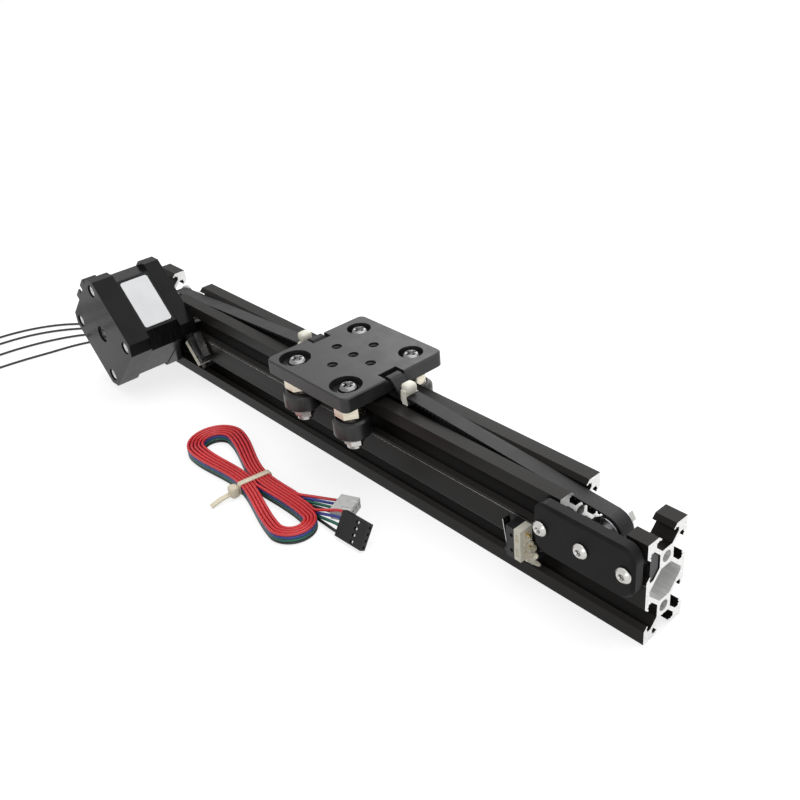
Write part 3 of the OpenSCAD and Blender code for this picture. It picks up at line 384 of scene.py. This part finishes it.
wireColours = {
    "red": ((0.58, 0.024, 0.03), (0.72, 0.045, 0.05)),
    "blue": ((0.022, 0.038, 0.24), (0.045, 0.07, 0.34)),
    "green": ((0.007, 0.1, 0.065), (0.014, 0.16, 0.105)),
    "black": ((0.008, 0.008, 0.009), (0.018, 0.018, 0.02)),
}
for wireName, (wireDark, wireLight) in wireColours.items():
    finishes[wireName + "Wire"] = grained(wireName + "Wire", wireDark, wireLight, 0.32, 0.0, 0.001)

nodeFinish = {
    "rail": "rail",
    "carriage_plate": "plate",
    "idler_plate": "bracket",
    "motor_front_cap motor_rear_cap": "motor",
    "motor_stator motor_rotor": "stack",
    "motor_windings": "copper",
    "motor_label": "label",
    "motor_socket cable_black_plug idler_switch_cover motor_switch_cover": "blackMoulded",
    "motor_socket_pins switch_terminals": "gold",
    "idler_tee_nuts pulley_grub_screws": "blackSteel",
    "wheel_screws": "darkSteel",
    "motor_screws": "zinc",
    "idler_plate_screws idler_axle_screw wheel_nuts idler_axle_nut": "bright",
    "wheel_shims idler_switch_lever motor_switch_lever": "bright",
    "motor_bearings motor_shaft idler_inner_rings idler_outer_rings wheel_inner_rings": "ground",
    "near_left_rings near_right_rings far_left_rings far_right_rings": "ground",
    "drive_pulley idler_spacers": "alloy",
    "plain_spacers eccentric_spacers": "warm",
    "belt belt_ends": "belt",
    "near_left_wheel near_right_wheel far_left_wheel far_right_wheel": "wheel",
    "belt_ties hank_tie": "nylon",
    "idler_switch_base motor_switch_base": "cream",
    "idler_switch_button motor_switch_button": "red",
    "glue_beads": "glue",
    "slot_leads lead_1 lead_2 lead_3 lead_4": "lead",
    "cable_hank cable_tails": "redWire",
    "cable_white_plug": "white",
}
finishOf = {node: finish for names, finish in nodeFinish.items() for node in names.split()}
for node, finish in finishOf.items():
    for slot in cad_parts[node].material_slots:
        slot.material = finishes[finish]
print("finishes are on")


# helpers that several pieces are made with
def inMetres(points):
    return [Vector(point) * mm for point in points]


def centreOf(node):
    low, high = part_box(node)
    return (Vector(low) + Vector(high)) / 2 / mm


def linkMesh(name, mesh, finish, body, replaced=()):
    piece = newObject(name, mesh)
    mesh.materials.clear()
    mesh.materials.append(finishes[finish])
    if body:
        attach(piece, body)
    if replaced:
        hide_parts(*replaced)
    return piece


def meshFrom(name, build):
    shape = bmesh.new()
    build(shape)
    bmesh.ops.recalc_face_normals(shape, faces=shape.faces)
    mesh = bpy.data.meshes.new(name)
    shape.to_mesh(mesh)
    shape.free()
    return mesh


def sweep(shape, sections, closed=False):
    # joins rings of points, one ring for each section, into a tube
    rings = [[shape.verts.new(point) for point in section] for section in sections]
    pairs = list(zip(rings, rings[1:])) + ([(rings[-1], rings[0])] if closed else [])
    for a, b in pairs:
        for k in range(len(a)):
            shape.faces.new((a[k], a[(k + 1) % len(a)], b[(k + 1) % len(a)], b[k]))
    if not closed:
        shape.faces.new(rings[0][::-1])
        shape.faces.new(rings[-1])


def finished(source, prepare):
    # the mesh that an object's modifiers leave, with the object itself removed
    prepare(source)
    bpy.context.view_layer.update()
    result = bpy.data.meshes.new_from_object(source.evaluated_get(bpy.context.evaluated_depsgraph_get()))
    bpy.data.objects.remove(source)
    return result


bevelFrom = 30  # faces that meet at more degrees than this have an edge to round


def eased(mesh, width, segments):
    # the mesh with its sharp edges rounded
    def bevel(thing):
        modifier = thing.modifiers.new("ease", "BEVEL")
        modifier.width, modifier.segments = width, segments
        modifier.limit_method, modifier.angle_limit = "ANGLE", radians(bevelFrom)

    return finished(newObject("eased", mesh), bevel)


def smoothShaded(mesh, sharpFrom=35):
    for polygon in mesh.polygons:
        polygon.use_smooth = True
    mesh.set_sharp_from_angle(angle=radians(sharpFrom))
    return mesh


def repeatTree():
    # copies a small part onto every place, turned by the place's own attribute, and joins them to the body
    tree = bpy.data.node_groups.new("repeatParts", "GeometryNodeTree")
    inputs = {
        "Body": "Geometry",
        "Places": "Object",
        "Part": "Object",
        "Size": "Float",
        "Finish": "Material",
    }
    for name, kind in inputs.items():
        tree.interface.new_socket(name, in_out="INPUT", socket_type="NodeSocket" + kind)
    tree.interface.new_socket("Result", in_out="OUTPUT", socket_type="NodeSocketGeometry")
    make, join = tree.nodes.new, tree.links.new
    start = make("NodeGroupInput")
    places = make("GeometryNodeObjectInfo")
    join(start.outputs["Places"], places.inputs["Object"])
    part = make("GeometryNodeObjectInfo")
    join(start.outputs["Part"], part.inputs["Object"])
    turn = make("GeometryNodeInputNamedAttribute")
    turn.data_type = "FLOAT_VECTOR"
    turn.inputs["Name"].default_value = "turn"
    rotation = make("FunctionNodeEulerToRotation")
    join(turn.outputs["Attribute"], rotation.inputs[0])
    copies = make("GeometryNodeInstanceOnPoints")
    join(places.outputs["Geometry"], copies.inputs["Points"])
    join(part.outputs["Geometry"], copies.inputs["Instance"])
    join(rotation.outputs[0], copies.inputs["Rotation"])
    join(start.outputs["Size"], copies.inputs["Scale"])
    both = make("GeometryNodeJoinGeometry")
    join(copies.outputs[0], both.inputs[0])
    join(start.outputs["Body"], both.inputs[0])
    real = make("GeometryNodeRealizeInstances")
    join(both.outputs[0], real.inputs[0])
    coat = make("GeometryNodeSetMaterial")
    join(real.outputs[0], coat.inputs["Geometry"])
    join(start.outputs["Finish"], coat.inputs["Material"])
    join(coat.outputs[0], make("NodeGroupOutput").inputs[0])
    return tree


repeater = repeatTree()


def repeated(name, part, places, finish, bodyMesh=None, size=1.0):
    # places are pairs of a point and a turn, and the part is a mesh round its own origin
    spots = bpy.data.meshes.new(name + "Spots")
    spots.from_pydata([tuple(place) for place, turn in places], [], [])
    turns = spots.attributes.new("turn", "FLOAT_VECTOR", "POINT")
    turns.data.foreach_set("vector", [value for place, turn in places for value in turn])
    spotsObject = newObject(name + "Spots", spots)
    partObject = newObject(name + "Part", part)

    def copy(thing):
        modifier = thing.modifiers.new("repeat", "NODES")
        modifier.node_group = repeater
        values = {"Places": spotsObject, "Part": partObject, "Size": size, "Finish": finishes[finish]}
        for item in repeater.interface.items_tree:
            if item.in_out == "INPUT" and item.name in values:
                modifier[item.identifier] = values[item.name]

    result = finished(newObject(name, bodyMesh or bpy.data.meshes.new(name + "Body")), copy)
    bpy.data.objects.remove(spotsObject)
    bpy.data.objects.remove(partObject)
    return result


wireRounds = 3  # how finely a wire's section is rounded


def curvePiece(name, points, radius, finish, replaced):
    data = bpy.data.curves.new(name, "CURVE")
    data.dimensions = "3D"
    data.bevel_depth, data.bevel_resolution = radius, wireRounds
    data.use_fill_caps = True
    spline = data.splines.new("POLY")
    spline.points.add(len(points) - 1)
    for point, place in zip(spline.points, points):
        point.co = (*place, 1)
    data.materials.append(finishes[finish])
    piece = newObject(name, data)
    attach(piece, "root")
    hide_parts(*replaced)
    return piece


def smoothLine(points, step):
    # a Catmull-Rom line through the points, cut to short even steps
    ends = [points[0] * 2 - points[1], *points, points[-1] * 2 - points[-2]]
    line = []
    for a, b, c, d in zip(ends, ends[1:], ends[2:], ends[3:]):
        count = max(1, ceil((c - b).length / step))
        for k in range(count):
            t = k / count
            line.append(0.5 * (2 * b + (c - a) * t + (2 * a - 5 * b + 4 * c - d) * t * t
                               + (3 * b - 3 * c + d - a) * t ** 3))
    return line + [points[-1]]


def lengthOf(line):
    return sum((b - a).length for a, b in zip(line, line[1:]))


def arcPoints(centre, radius, first, last, count):
    angles = [radians(first + (last - first) * k / count) for k in range(count + 1)]
    return [Vector((centre[0] + radius * cos(a), centre[1] + radius * sin(a))) for a in angles]


# the turned parts, shown by smooth copies, two of them with eased edges
smoothSettings = {
    "bodies": {
        "root": "motor_screws idler_plate_screws idler_axle_screw idler_spacers idler_axle_nut",
        "rotor": "drive_pulley motor_shaft",
        "idler": "idler_outer_rings",
        "carriage": "wheel_screws eccentric_spacers plain_spacers wheel_shims wheel_nuts",
        "near_left_wheel": "near_left_wheel",
        "near_right_wheel": "near_right_wheel",
        "far_left_wheel": "far_left_wheel",
        "far_right_wheel": "far_right_wheel",
    },
    "ease": {"eccentric_spacers": 0.15, "wheel_nuts": 0.12},
    "easeSegments": 3,
    "sharp": 38,
    "merge": 0.001,
    "rearHeads": -36.9,  # the motor's rear screw heads lie behind this
    "headsOut": 3.2,  # and stand this much nearer the mouths of their wells
}


def smoothParts(s):
    def copyOf(node):
        shape = bmesh.new()
        shape.from_mesh(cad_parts[node].data)
        bmesh.ops.remove_doubles(shape, verts=shape.verts, dist=s["merge"] * mm)
        if node == "motor_screws":
            for vert in shape.verts:
                if vert.co.y < s["rearHeads"] * mm:
                    vert.co.y -= s["headsOut"] * mm
        mesh = bpy.data.meshes.new(node)
        shape.to_mesh(mesh)
        shape.free()
        return smoothShaded(mesh, s["sharp"])

    def weigh(thing):
        modifier = thing.modifiers.new("weigh", "WEIGHTED_NORMAL")
        modifier.keep_sharp = True

    for body, nodes in s["bodies"].items():
        for node in nodes.split():
            mesh = copyOf(node)
            if node in s["ease"]:
                mesh = smoothShaded(eased(mesh, s["ease"][node] * mm, s["easeSegments"]), s["sharp"])
            mesh = finished(newObject(node + "Smooth", mesh), weigh)
            first, *rest = node.split("_")
            linkMesh(first + "".join(word.title() for word in rest), mesh, finishOf[node], body, [node])


# thread ridges in the plate's tapped holes
threadSettings = {
    "holes": ((0, 0), (1, 0), (-1, 0), (0, 1), (0, -1)),
    "reach": 10.5,
    "bore": 2.1,
    "bury": 0.02,  # how far a ridge's foot is sunk into the wall
    "crest": 1.72,
    "pitch": 0.8,
    "footShare": 0.38,  # half the ridge's height at its foot and at its crest, in pitches
    "crestShare": 0.06,
    "segments": 20,
}


def tapHoles(s):
    low, high = (Vector(corner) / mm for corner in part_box("carriage_plate"))
    middle = (low + high) / 2
    turns = int((high.z - low.z - s["pitch"]) / s["pitch"])
    foot = s["bore"] + s["bury"]
    profile = ((foot, -s["footShare"]), (s["crest"], -s["crestShare"]),
               (s["crest"], s["crestShare"]), (foot, s["footShare"]))

    def thread(shape):
        sections = []
        for k in range(turns * s["segments"] + 1):
            angle = 2 * pi * k / s["segments"]
            z = s["pitch"] * k / s["segments"] - turns * s["pitch"] / 2
            sections.append([Vector((r * cos(angle), r * sin(angle), z + share * s["pitch"])) * mm
                             for r, share in profile])
        sweep(shape, sections)

    places = [((middle + Vector((x, y, 0)) * s["reach"]) * mm, (0, 0, 0)) for x, y in s["holes"]]
    mesh = repeated("payloadThreads", meshFrom("payloadThread", thread), places, "blackSteel")
    linkMesh("payloadThreads", mesh, "blackSteel", "carriage")


# the four switch leads beyond the rail's end
leadSettings = {
    "diameter": 1.2,
    "step": 2,
    "start": (-155, -6.2),
    "heights": (11.95, 10.65, 9.35, 8.05),
    "routes": (
        ((-162, -6.2, 11.6), (-170, -6.6, 9.6), (-179, -8, 6), (-188, -10.5, 2.6), (-198, -15, 0.6),
         (-209, -22, 0.6), (-219, -32, 0.6), (-226, -44, 0.6), (-230, -57, 0.6), (-231, -70, 0.6),
         (-229, -82, 0.6), (-224, -92, 0.6)),
        ((-162, -6.4, 10.2), (-169, -7, 8.2), (-177, -9, 4.8), (-186, -12.5, 1.8), (-194, -17, 0.6),
         (-204, -25, 0.6), (-213, -36, 0.6), (-219, -48, 0.6), (-222, -60, 0.6), (-223, -72, 0.6),
         (-221, -84, 0.6), (-217, -95, 0.6)),
        ((-161, -6.8, 8.8), (-168, -8, 6.8), (-176, -11, 3.6), (-183, -15, 1), (-190, -21, 0.6),
         (-198, -31, 0.6), (-204, -43, 0.6), (-208, -56, 0.6), (-210, -69, 0.6), (-210, -82, 0.6),
         (-208, -94, 0.6)),
        ((-161, -7.4, 7.4), (-167, -9.2, 5.4), (-173, -12.5, 2.6), (-178, -17, 0.6), (-183, -25, 0.6),
         (-188, -37, 0.6), (-191, -50, 0.6), (-194, -63, 0.6), (-196, -76, 0.6), (-197, -88, 0.6),
         (-196, -99, 0.6)),
    ),
}


def layLeads(s):
    radius = s["diameter"] * mm / 2
    for k, (height, route) in enumerate(zip(s["heights"], s["routes"])):
        start = Vector((*s["start"], height))
        line = smoothLine(inMetres([start, *route]), s["step"] * mm)
        for point in line:
            point.z = max(point.z, radius)  # the curve may not dip into the floor
        lead = curvePiece(f"switchLead{k + 1}", line, radius, "lead", [f"lead_{k + 1}"])


# the motor's cable: four wires on edge, folded in half and wound into a long hank
hankSettings = {
    # the two ends; spread is the room for each pass there, in wires
    "left": {"centre": (-44.6, -39.8), "radius": 12.6, "spread": 1.22},
    "right": {"centre": (24.4, -49.2), "radius": 10.8, "spread": 1.08},
    "waist": 6.5,
    "wire": 1.25,
    "drawn": 0.98,  # wires are drawn a little thinner, so that they stay apart
    "step": 1.2,
    "runSteps": 26,
    "bendSteps": 16,
    "passes": 5,
    "innerPasses": (0, 2, 4),
    "outerPasses": (1, 3),
    "innerExit": 0.82,  # shares of the hank's length
    "innerReach": 0.58,
    "foldStart": 0.78,
    "whiteLead": 3,  # how far the wires run straight out of each plug
    "blackLead": 2.5,
    "gather": 0.9,
    "colours": ("red", "blue", "green", "black"),
    "whitePlug": {"place": (31.5, -30.4), "turn": 24, "size": (8, 9.9, 4.6)},
    "blackPlug": {"place": (40.2, -40.8), "turn": 3, "lean": 33, "size": (14, 2.54, 10.2)},
}


def hankHalf(s, along, length, place):
    # half the hank's width for one pass, at a distance along it
    step = (2 * s["waist"] - s["wire"]) / (2 * s["passes"] - 1)
    waist = s["waist"] - s["wire"] / 2 - step * place
    share = along / length
    end = s["left"] if share < 0.5 else s["right"]
    wide = end["radius"] - s["wire"] / 2 - s["wire"] * end["spread"] * place
    u = min(1, abs(2 * share - 1))
    return waist + (wide - waist) * u * u * (3 - 2 * u)


def hankRoute(s):
    # the cable's line from the white plug to the black one, in the plane of the floor
    left, right = Vector(s["left"]["centre"]), Vector(s["right"]["centre"])
    length = (right - left).length
    turn = atan2(right.y - left.y, right.x - left.x)
    line = []

    def put(x, y):
        line.append(left + Vector((x * cos(turn) - y * sin(turn), x * sin(turn) + y * cos(turn))))

    def run(place, side, fromX, toX):
        for k in range(s["runSteps"] + 1):
            x = fromX + (toX - fromX) * k / s["runSteps"]
            put(x, side * hankHalf(s, x, length, place))

    def bend(end, first, last, side):
        # half a turn round the left end, -1, or the right one, 1, from one pass to another
        centre = length if end > 0 else 0
        a, b = (hankHalf(s, centre, length, place) for place in (first, last))
        for k in range(1, s["bendSteps"]):
            angle = pi * k / s["bendSteps"]
            radius = a + (b - a) * k / s["bendSteps"]
            put(centre + sin(angle) * radius * end, cos(angle) * radius * side)

    def windIn(places, exitX, lastReach):
        run(places[0], 1, exitX, 0)
        for k, place in enumerate(places):
            if k:
                run(place, 1, length, 0)
            bend(-1, place, place, 1)
            last = k == len(places) - 1
            run(place, -1, 0, length * lastReach if last else length)
            if not last:
                bend(1, place, places[k + 1], -1)

    # the innermost pass crosses the right loop and turns back inside it, into the fourth pass
    windIn(s["innerPasses"], length * s["innerExit"], s["innerReach"])
    inner = line[:]
    line.clear()
    windIn(s["outerPasses"], length, 1)
    outer = line[::-1]
    line.clear()
    run(s["passes"], 1, length * s["foldStart"], length)
    bend(1, s["passes"], s["outerPasses"][-1], 1)
    return inner + line + outer


def blackPlugPoint(s, along, height, depth=None):
    # depth is from the face with the windows, and the middle of the plug without it
    p = s["blackPlug"]
    lean, turn = radians(-p["lean"]), radians(p["turn"])
    y, z = (-p["size"][1] / 2 if depth is None else depth - p["size"][1]), height
    y, z = y * cos(lean) - z * sin(lean), y * sin(lean) + z * cos(lean)
    x, y = along * cos(turn) - y * sin(turn), along * sin(turn) + y * cos(turn)
    return Vector((p["place"][0] + x, p["place"][1] + y, z))


def whitePlugPoint(s, along, side):
    p = s["whitePlug"]
    turn = radians(p["turn"])
    x = p["place"][0] + along * cos(turn) - side * sin(turn)
    y = p["place"][1] + along * sin(turn) + side * cos(turn)
    return Vector((x, y, p["size"][2] / 2))


def layHank(s):
    route = hankRoute(s)
    count = len(s["colours"])
    face = -s["whitePlug"]["size"][0] / 2
    for k, colour in enumerate(s["colours"]):
        z = s["wire"] * (count - k - 0.5)
        share = (k + 0.5) / count
        side = s["whitePlug"]["size"][1] * (0.5 - share)
        pin = whitePlugPoint(s, face, side)
        before = whitePlugPoint(s, face - s["whiteLead"], side * s["gather"])
        height = s["blackPlug"]["size"][2] * (1 - share)
        socket, after = blackPlugPoint(s, 0, height), blackPlugPoint(s, -s["blackLead"], height)
        flat = [Vector((*point, z)) for point in route]
        enter, leave = flat[0].lerp(before, 0.5), flat[-1].lerp(after, 0.5)
        line = smoothLine(inMetres([pin, before, enter, *flat, leave, after, socket]), s["step"] * mm)
        wire = curvePiece(f"{colour}CableWire", line, s["wire"] * mm / 2 * s["drawn"], colour + "Wire",
                          ["cable_hank", "cable_tails"])


# the toothed belt: a loop round both pulleys, two runs up to the plate, and a fold round each bar
beltSettings = {
    "width": 6,
    "back": 0.63,
    "toothHeight": 0.75,
    "toothFoot": 1.2,
    "toothTip": 0.7,
    "toothRoot": 0.05,  # how far a tooth reaches into the back
    "pitch": 2,
    "driveRadius": 6.112,
    "idlerRadius": 5.81,
    "wrapSteps": 30,
    "bar": 1.8,
    "fold": 5,
    "foldSteps": (5, 5, 4),
    "tail": 11,
    "sink": 1.5,
    "step": 1,
}


def evenly(path, step):
    # the same path with points at even distances, as near the step as fits
    total = lengthOf(path)
    count = max(2, round(total / step))
    result, k, passed = [], 0, 0.0
    for i in range(count + 1):
        wanted = total * i / count
        while k < len(path) - 2 and passed + (path[k + 1] - path[k]).length < wanted:
            passed += (path[k + 1] - path[k]).length
            k += 1
        edge = path[k + 1] - path[k]
        result.append(path[k] + edge * min(1, (wanted - passed) / edge.length))
    return result


def toothedBelt(s, name, path, side):
    # a strip along a path in the XZ plane, its back on the given side of the path and its teeth on the other
    line = evenly(path, s["step"])
    across = []
    for k in range(len(line)):
        along = (line[min(k + 1, len(line) - 1)] - line[max(k - 1, 0)]).normalized()
        across.append(Vector((-along.y, along.x)) * side)
    half = s["width"] / 2

    def strip(shape):
        sections = []
        for point, out in zip(line, across):
            far = point + out * s["back"]
            corners = ((point, -half), (point, half), (far, half), (far, -half))
            sections.append([Vector((p.x, y, p.y)) * mm for p, y in corners])
        sweep(shape, sections)

    def tooth(shape):
        foot, tip = s["toothFoot"] / 2, s["toothTip"] / 2
        height, root = s["toothHeight"], s["toothRoot"]
        outline = ((-foot, root), (-foot, 0), (-tip, -height), (tip, -height), (foot, 0), (foot, root))
        sweep(shape, [[Vector((x, y, z)) * mm for x, z in outline] for y in (-half, half)])

    places = []
    for k in range(1, len(line) - 1, round(s["pitch"] / s["step"])):
        out = across[k]
        places.append((Vector((line[k].x, 0, line[k].y)) * mm, (0, atan2(out.x, out.y), 0)))
    return repeated(name, meshFrom(name + "Tooth", tooth), places, "belt", meshFrom(name, strip))


def fitBelt(s):
    motor, idler = centreOf("motor_shaft"), centreOf("idler_outer_rings")
    low, high = (Vector(corner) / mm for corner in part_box("carriage_plate"))
    drive, turned = s["driveRadius"], s["idlerRadius"]
    leave = 90 - (drive - turned) / (idler.x - motor.x) * 180 / pi
    loop = arcPoints((motor.x, motor.z), drive, 90, 360 - leave, s["wrapSteps"])
    loop += arcPoints((idler.x, idler.z), turned, -leave, 90, s["wrapSteps"])
    linkMesh("beltLoop", toothedBelt(s, "beltLoop", loop, -1), "belt", "root", ["belt"])

    tooth, bar = s["toothHeight"], s["bar"]
    under, over = low.z, high.z - s["sink"]
    lean = 90 - atan2(over - under, s["fold"]) * 180 / pi
    foldEnd = s["fold"] + tooth * cos(radians(lean)) / (1 + sin(radians(lean)))
    lowerSteps, upperSteps, slopeSteps = s["foldSteps"]
    outline = [Vector((s["tail"], under - tooth))]
    outline += arcPoints((-bar, under), tooth, 270, 180, lowerSteps)
    outline += arcPoints((-bar, over), tooth, 180, 90, upperSteps)
    outline += arcPoints((0, over), tooth, 90, lean, slopeSteps)
    outline += [Vector((foldEnd, under + tooth)), Vector((s["tail"], under + tooth))]

    ends = {"Left": (low.x, -1, motor, drive), "Right": (high.x, 1, idler, turned)}
    for name, (edge, way, wheel, radius) in ends.items():
        fold = [Vector((edge + way * p.x, p.y)) for p in outline]
        mesh = toothedBelt(s, f"beltFold{name}", fold, way)
        linkMesh(f"beltFold{name}", mesh, "belt", "carriage", ["belt_ends"])
        run = [Vector((wheel.x, wheel.z + radius)), Vector((edge + way * s["tail"], under + tooth))]
        mesh = toothedBelt(s, f"beltRun{name}", run, -way)
        piece = linkMesh(f"beltRun{name}", mesh, "belt", None)
        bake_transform(piece)


# nylon straps: one on each fold of the belt, and one round the hank
strapSettings = {
    "width": 2.5,
    "thick": 0.6,
    "corner": 0.9,
    "cornerSteps": 5,
    "crown": (0.8, 0.25),  # how the outer edges draw in, as shares of the width and the thickness
    "head": (4.6, 5.2, 4),
    "headEase": 1.4,
    "headSegments": 4,
    "headSink": 0.1,
    "beltTail": {"points": 8, "curl": 0.024, "gap": 0.25, "lean": 0.1, "above": 2.2, "drop": 0.75},
    "hankTail": {"points": 9, "inside": 0.5, "step": 1.1, "height": 2.2, "sag": 0.03},
    "hankShare": 0.52,  # the strap's place, as a share of the hank's length
    "hankGap": 0.25,
    "hankUnder": 0.62,
    "hankOver": 0.02,
    "hankHead": 0.4,
}


def strapBand(s, halfWide, low, high):
    # a band round a rectangle in the YZ plane, as a closed loop of sections
    outline = []
    for sy, sz, first in ((1, 1, 0), (-1, 1, 90), (-1, -1, 180), (1, -1, 270)):
        centre = (sy * (halfWide - s["corner"]), (high if sz > 0 else low) - sz * s["corner"])
        outline += arcPoints(centre, s["corner"], first, first + 90, s["cornerSteps"])
    middle = Vector((0, (low + high) / 2))
    w = s["width"] / 2
    narrow, inset = s["crown"]
    sections = []
    for k, point in enumerate(outline):
        along = (outline[(k + 1) % len(outline)] - outline[k - 1]).normalized()
        out = Vector((along.y, -along.x))
        if out.dot(point - middle) < 0:
            out = -out
        far = point + out * s["thick"]
        shoulder = far.lerp(point, inset)
        sections.append([(-w, point), (w, point), (w, shoulder), (w * narrow, far), (-w * narrow, far),
                         (-w, shoulder)])
    return sections


def strapTie(s, name, finish, body, place, band, headAt, headTurn, tail, replaced):
    # place turns and moves the whole tie; headAt is the head's middle, and the tail follows its own points
    def buildBand(shape):
        sections = strapBand(s, *band)
        sweep(shape, [[Vector((x, p.x, p.y)) for x, p in section] for section in sections], closed=True)

    def buildHead(shape):
        bmesh.ops.create_cube(shape, size=1)
        bmesh.ops.scale(shape, vec=s["head"], verts=shape.verts)

    def buildTail(shape):
        w, t = s["width"] / 2, s["thick"] / 2
        side = Vector((1, 0, 0))
        sections = []
        for k, point in enumerate(tail):
            ahead = tail[min(k + 1, len(tail) - 1)] - tail[max(k - 1, 0)]
            out = ahead.cross(side).normalized()
            corners = ((-w, -t), (w, -t), (w, t), (-w, t))
            sections.append([point + side * a + out * b for a, b in corners])
        sweep(shape, sections)

    head = eased(meshFrom(name + "Head", buildHead), s["headEase"], s["headSegments"])
    head.transform(Matrix.Translation(headAt) @ Matrix.Rotation(headTurn, 4, "X"))
    parts = [meshFrom(name, buildBand), head]
    if tail:
        parts.append(meshFrom(name + "Tail", buildTail))
    joined = bmesh.new()
    for part in parts:
        joined.from_mesh(part)
    mesh = bpy.data.meshes.new(name)
    joined.transform(Matrix.Scale(mm, 4) @ place)
    joined.to_mesh(mesh)
    joined.free()
    return linkMesh(name, smoothShaded(mesh), finish, body, replaced)


def tieBelt(s):
    low, high = (Vector(corner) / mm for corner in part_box("belt_ties"))
    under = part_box("carriage_plate")[0][2] / mm
    belt = beltSettings["back"] + beltSettings["toothHeight"]
    top = under + belt
    half = s["head"][0] / 2
    headAt = Vector((0, 0, top + s["thick"] + s["head"][2] / 2 - s["headSink"]))
    t = s["beltTail"]
    tail = [Vector((t["curl"] * k * k, -s["head"][1] / 2 - t["gap"] - t["lean"] * k,
                    top + t["above"] - t["drop"] * k)) for k in range(t["points"])]
    for name, x, itsTail in (("Left", low.x + half, []), ("Right", high.x - half, tail)):
        strapTie(s, f"beltTie{name}", "nylon", "carriage", Matrix.Translation((x, 0, 0)),
                 (beltSettings["width"] / 2, under - belt, top), headAt, 0, itsTail, ["belt_ties"])


def tieHank(s, hank):
    left, right = (Vector((*hank[end]["centre"], 0)) for end in ("left", "right"))
    turn = atan2(right.y - left.y, right.x - left.x)
    place = Matrix.Translation(left.lerp(right, s["hankShare"])) @ Matrix.Rotation(turn, 4, "Z")
    high = hank["wire"] * len(hank["colours"])
    wide = hank["waist"] + s["hankGap"]
    headY = -wide - s["thick"] - s["head"][2] / 2
    t = s["hankTail"]
    tailY = headY - s["head"][2] / 2 + t["inside"]
    tail = [Vector((0, tailY - t["step"] * k, t["height"] - t["sag"] * k * k)) for k in range(t["points"])]
    return strapTie(s, "hankTie", "looseNylon", "root", place, (wide, s["hankUnder"], high + s["hankOver"]),
                    Vector((0, headY, s["hankHead"] + s["head"][1] / 2)), radians(90), tail, ["hank_tie"])


# set glue beside the switches
glueSettings = {
    "grain": 0.28,
    "ballDetail": 3,
    "gap": 0.02,
    "soften": 0.5,
    "softenings": 2,
    "sharp": 60,
    # out from the switch, forward from the rail, along the switch, and each lump's radius
    "lumps": (
        (0.5, 1.6, -1, 1.2), (1.6, 1.4, -1.4, 1.1), (2.8, 1, -1.8, 0.9), (3.6, 0.8, -2, 0.7),
        (0.6, 2.8, 0.6, 1.4), (1.8, 2, 0.4, 1.3), (0.5, 3.4, 2.2, 1.3), (1.7, 2.6, 2.6, 1.3),
        (2.7, 1.6, 1.8, 1.1), (0.5, 2.4, 4, 1.4), (1.5, 3.2, 4.6, 1), (1.6, 1.3, 4.4, 1.3),
        (0.3, 2.8, 6, 1.2), (1.2, 2, 6.6, 1.1), (0.2, 3.2, 7.8, 0.95), (0.8, 2.2, 8.4, 0.9),
        (0.1, 2.8, 9.6, 0.75), (0.4, 1.9, 10.4, 0.7),
    ),
    "switches": {
        "idlerSwitchGlue": {"corner": (109, 10.7), "along": (0, 1), "out": (1, 0), "start": 0, "size": 1},
        "motorSwitchGlue": {"corner": (-95.02, 12.56), "along": (0.672, -0.74), "out": (-0.74, -0.672),
                            "start": -11.4, "size": 0.62},
    },
}


def pourGlue(s):
    # lumps that run together beside each switch, over the ends of its leads
    face = -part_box("rail")[1][1] / mm
    for name, switch in s["switches"].items():
        corner, along, out = (Vector(switch[key]) for key in ("corner", "along", "out"))
        size = switch["size"]

        def lumps(shape):
            for away, forward, up, radius in s["lumps"]:
                at = corner + along * (switch["start"] + up * size) + out * away * size
                matrix = Matrix.Translation((at.x, face - forward * size, at.y))
                bmesh.ops.create_icosphere(shape, subdivisions=s["ballDetail"], radius=radius * size,
                                           matrix=matrix)
            for vert in shape.verts:
                vert.co.y = min(vert.co.y, face - s["gap"])

        def flow(thing):
            modifier = thing.modifiers.new("flow", "REMESH")
            modifier.mode, modifier.voxel_size = "VOXEL", s["grain"]
            soften = thing.modifiers.new("soften", "SMOOTH")
            soften.factor, soften.iterations = s["soften"], s["softenings"]

        mesh = finished(newObject(name, meshFrom(name, lumps)), flow)
        mesh.transform(Matrix.Scale(mm, 4))
        linkMesh(name, smoothShaded(mesh, s["sharp"]), "glue", "root", ["glue_beads"])


# contacts in the black plug's windows
contactSettings = {
    "along": 9.1,
    "depth": 0.6,
    "size": (0.9, 0.4, 0.9),
    "ease": 0.03,
    "easeSegments": 2,
}


def fitContacts(s, hank):
    def box(shape):
        bmesh.ops.create_cube(shape, size=1)
        bmesh.ops.scale(shape, vec=Vector(s["size"]) * mm, verts=shape.verts)

    contact = eased(meshFrom("contact", box), s["ease"] * mm, s["easeSegments"])
    plug, count = hank["blackPlug"], len(hank["colours"])
    turn = (radians(-plug["lean"]), 0, radians(plug["turn"]))
    heights = [plug["size"][2] * (k + 0.5) / count for k in range(count)]
    places = [(blackPlugPoint(hank, s["along"], height, s["depth"]) * mm, turn) for height in heights]
    mesh = repeated("blackPlugContacts", contact, places, "zinc")
    linkMesh("blackPlugContacts", mesh, "zinc", "root")


smoothParts(smoothSettings)
tapHoles(threadSettings)
print("smooth parts and threads are in")
tieBelt(strapSettings)
hankTie = tieHank(strapSettings, hankSettings)
layLeads(leadSettings)
layHank(hankSettings)
print("straps and cords lie")
fitBelt(beltSettings)
print("the belt is on")
pourGlue(glueSettings)
fitContacts(contactSettings, hankSettings)
print("glue and contacts are on")
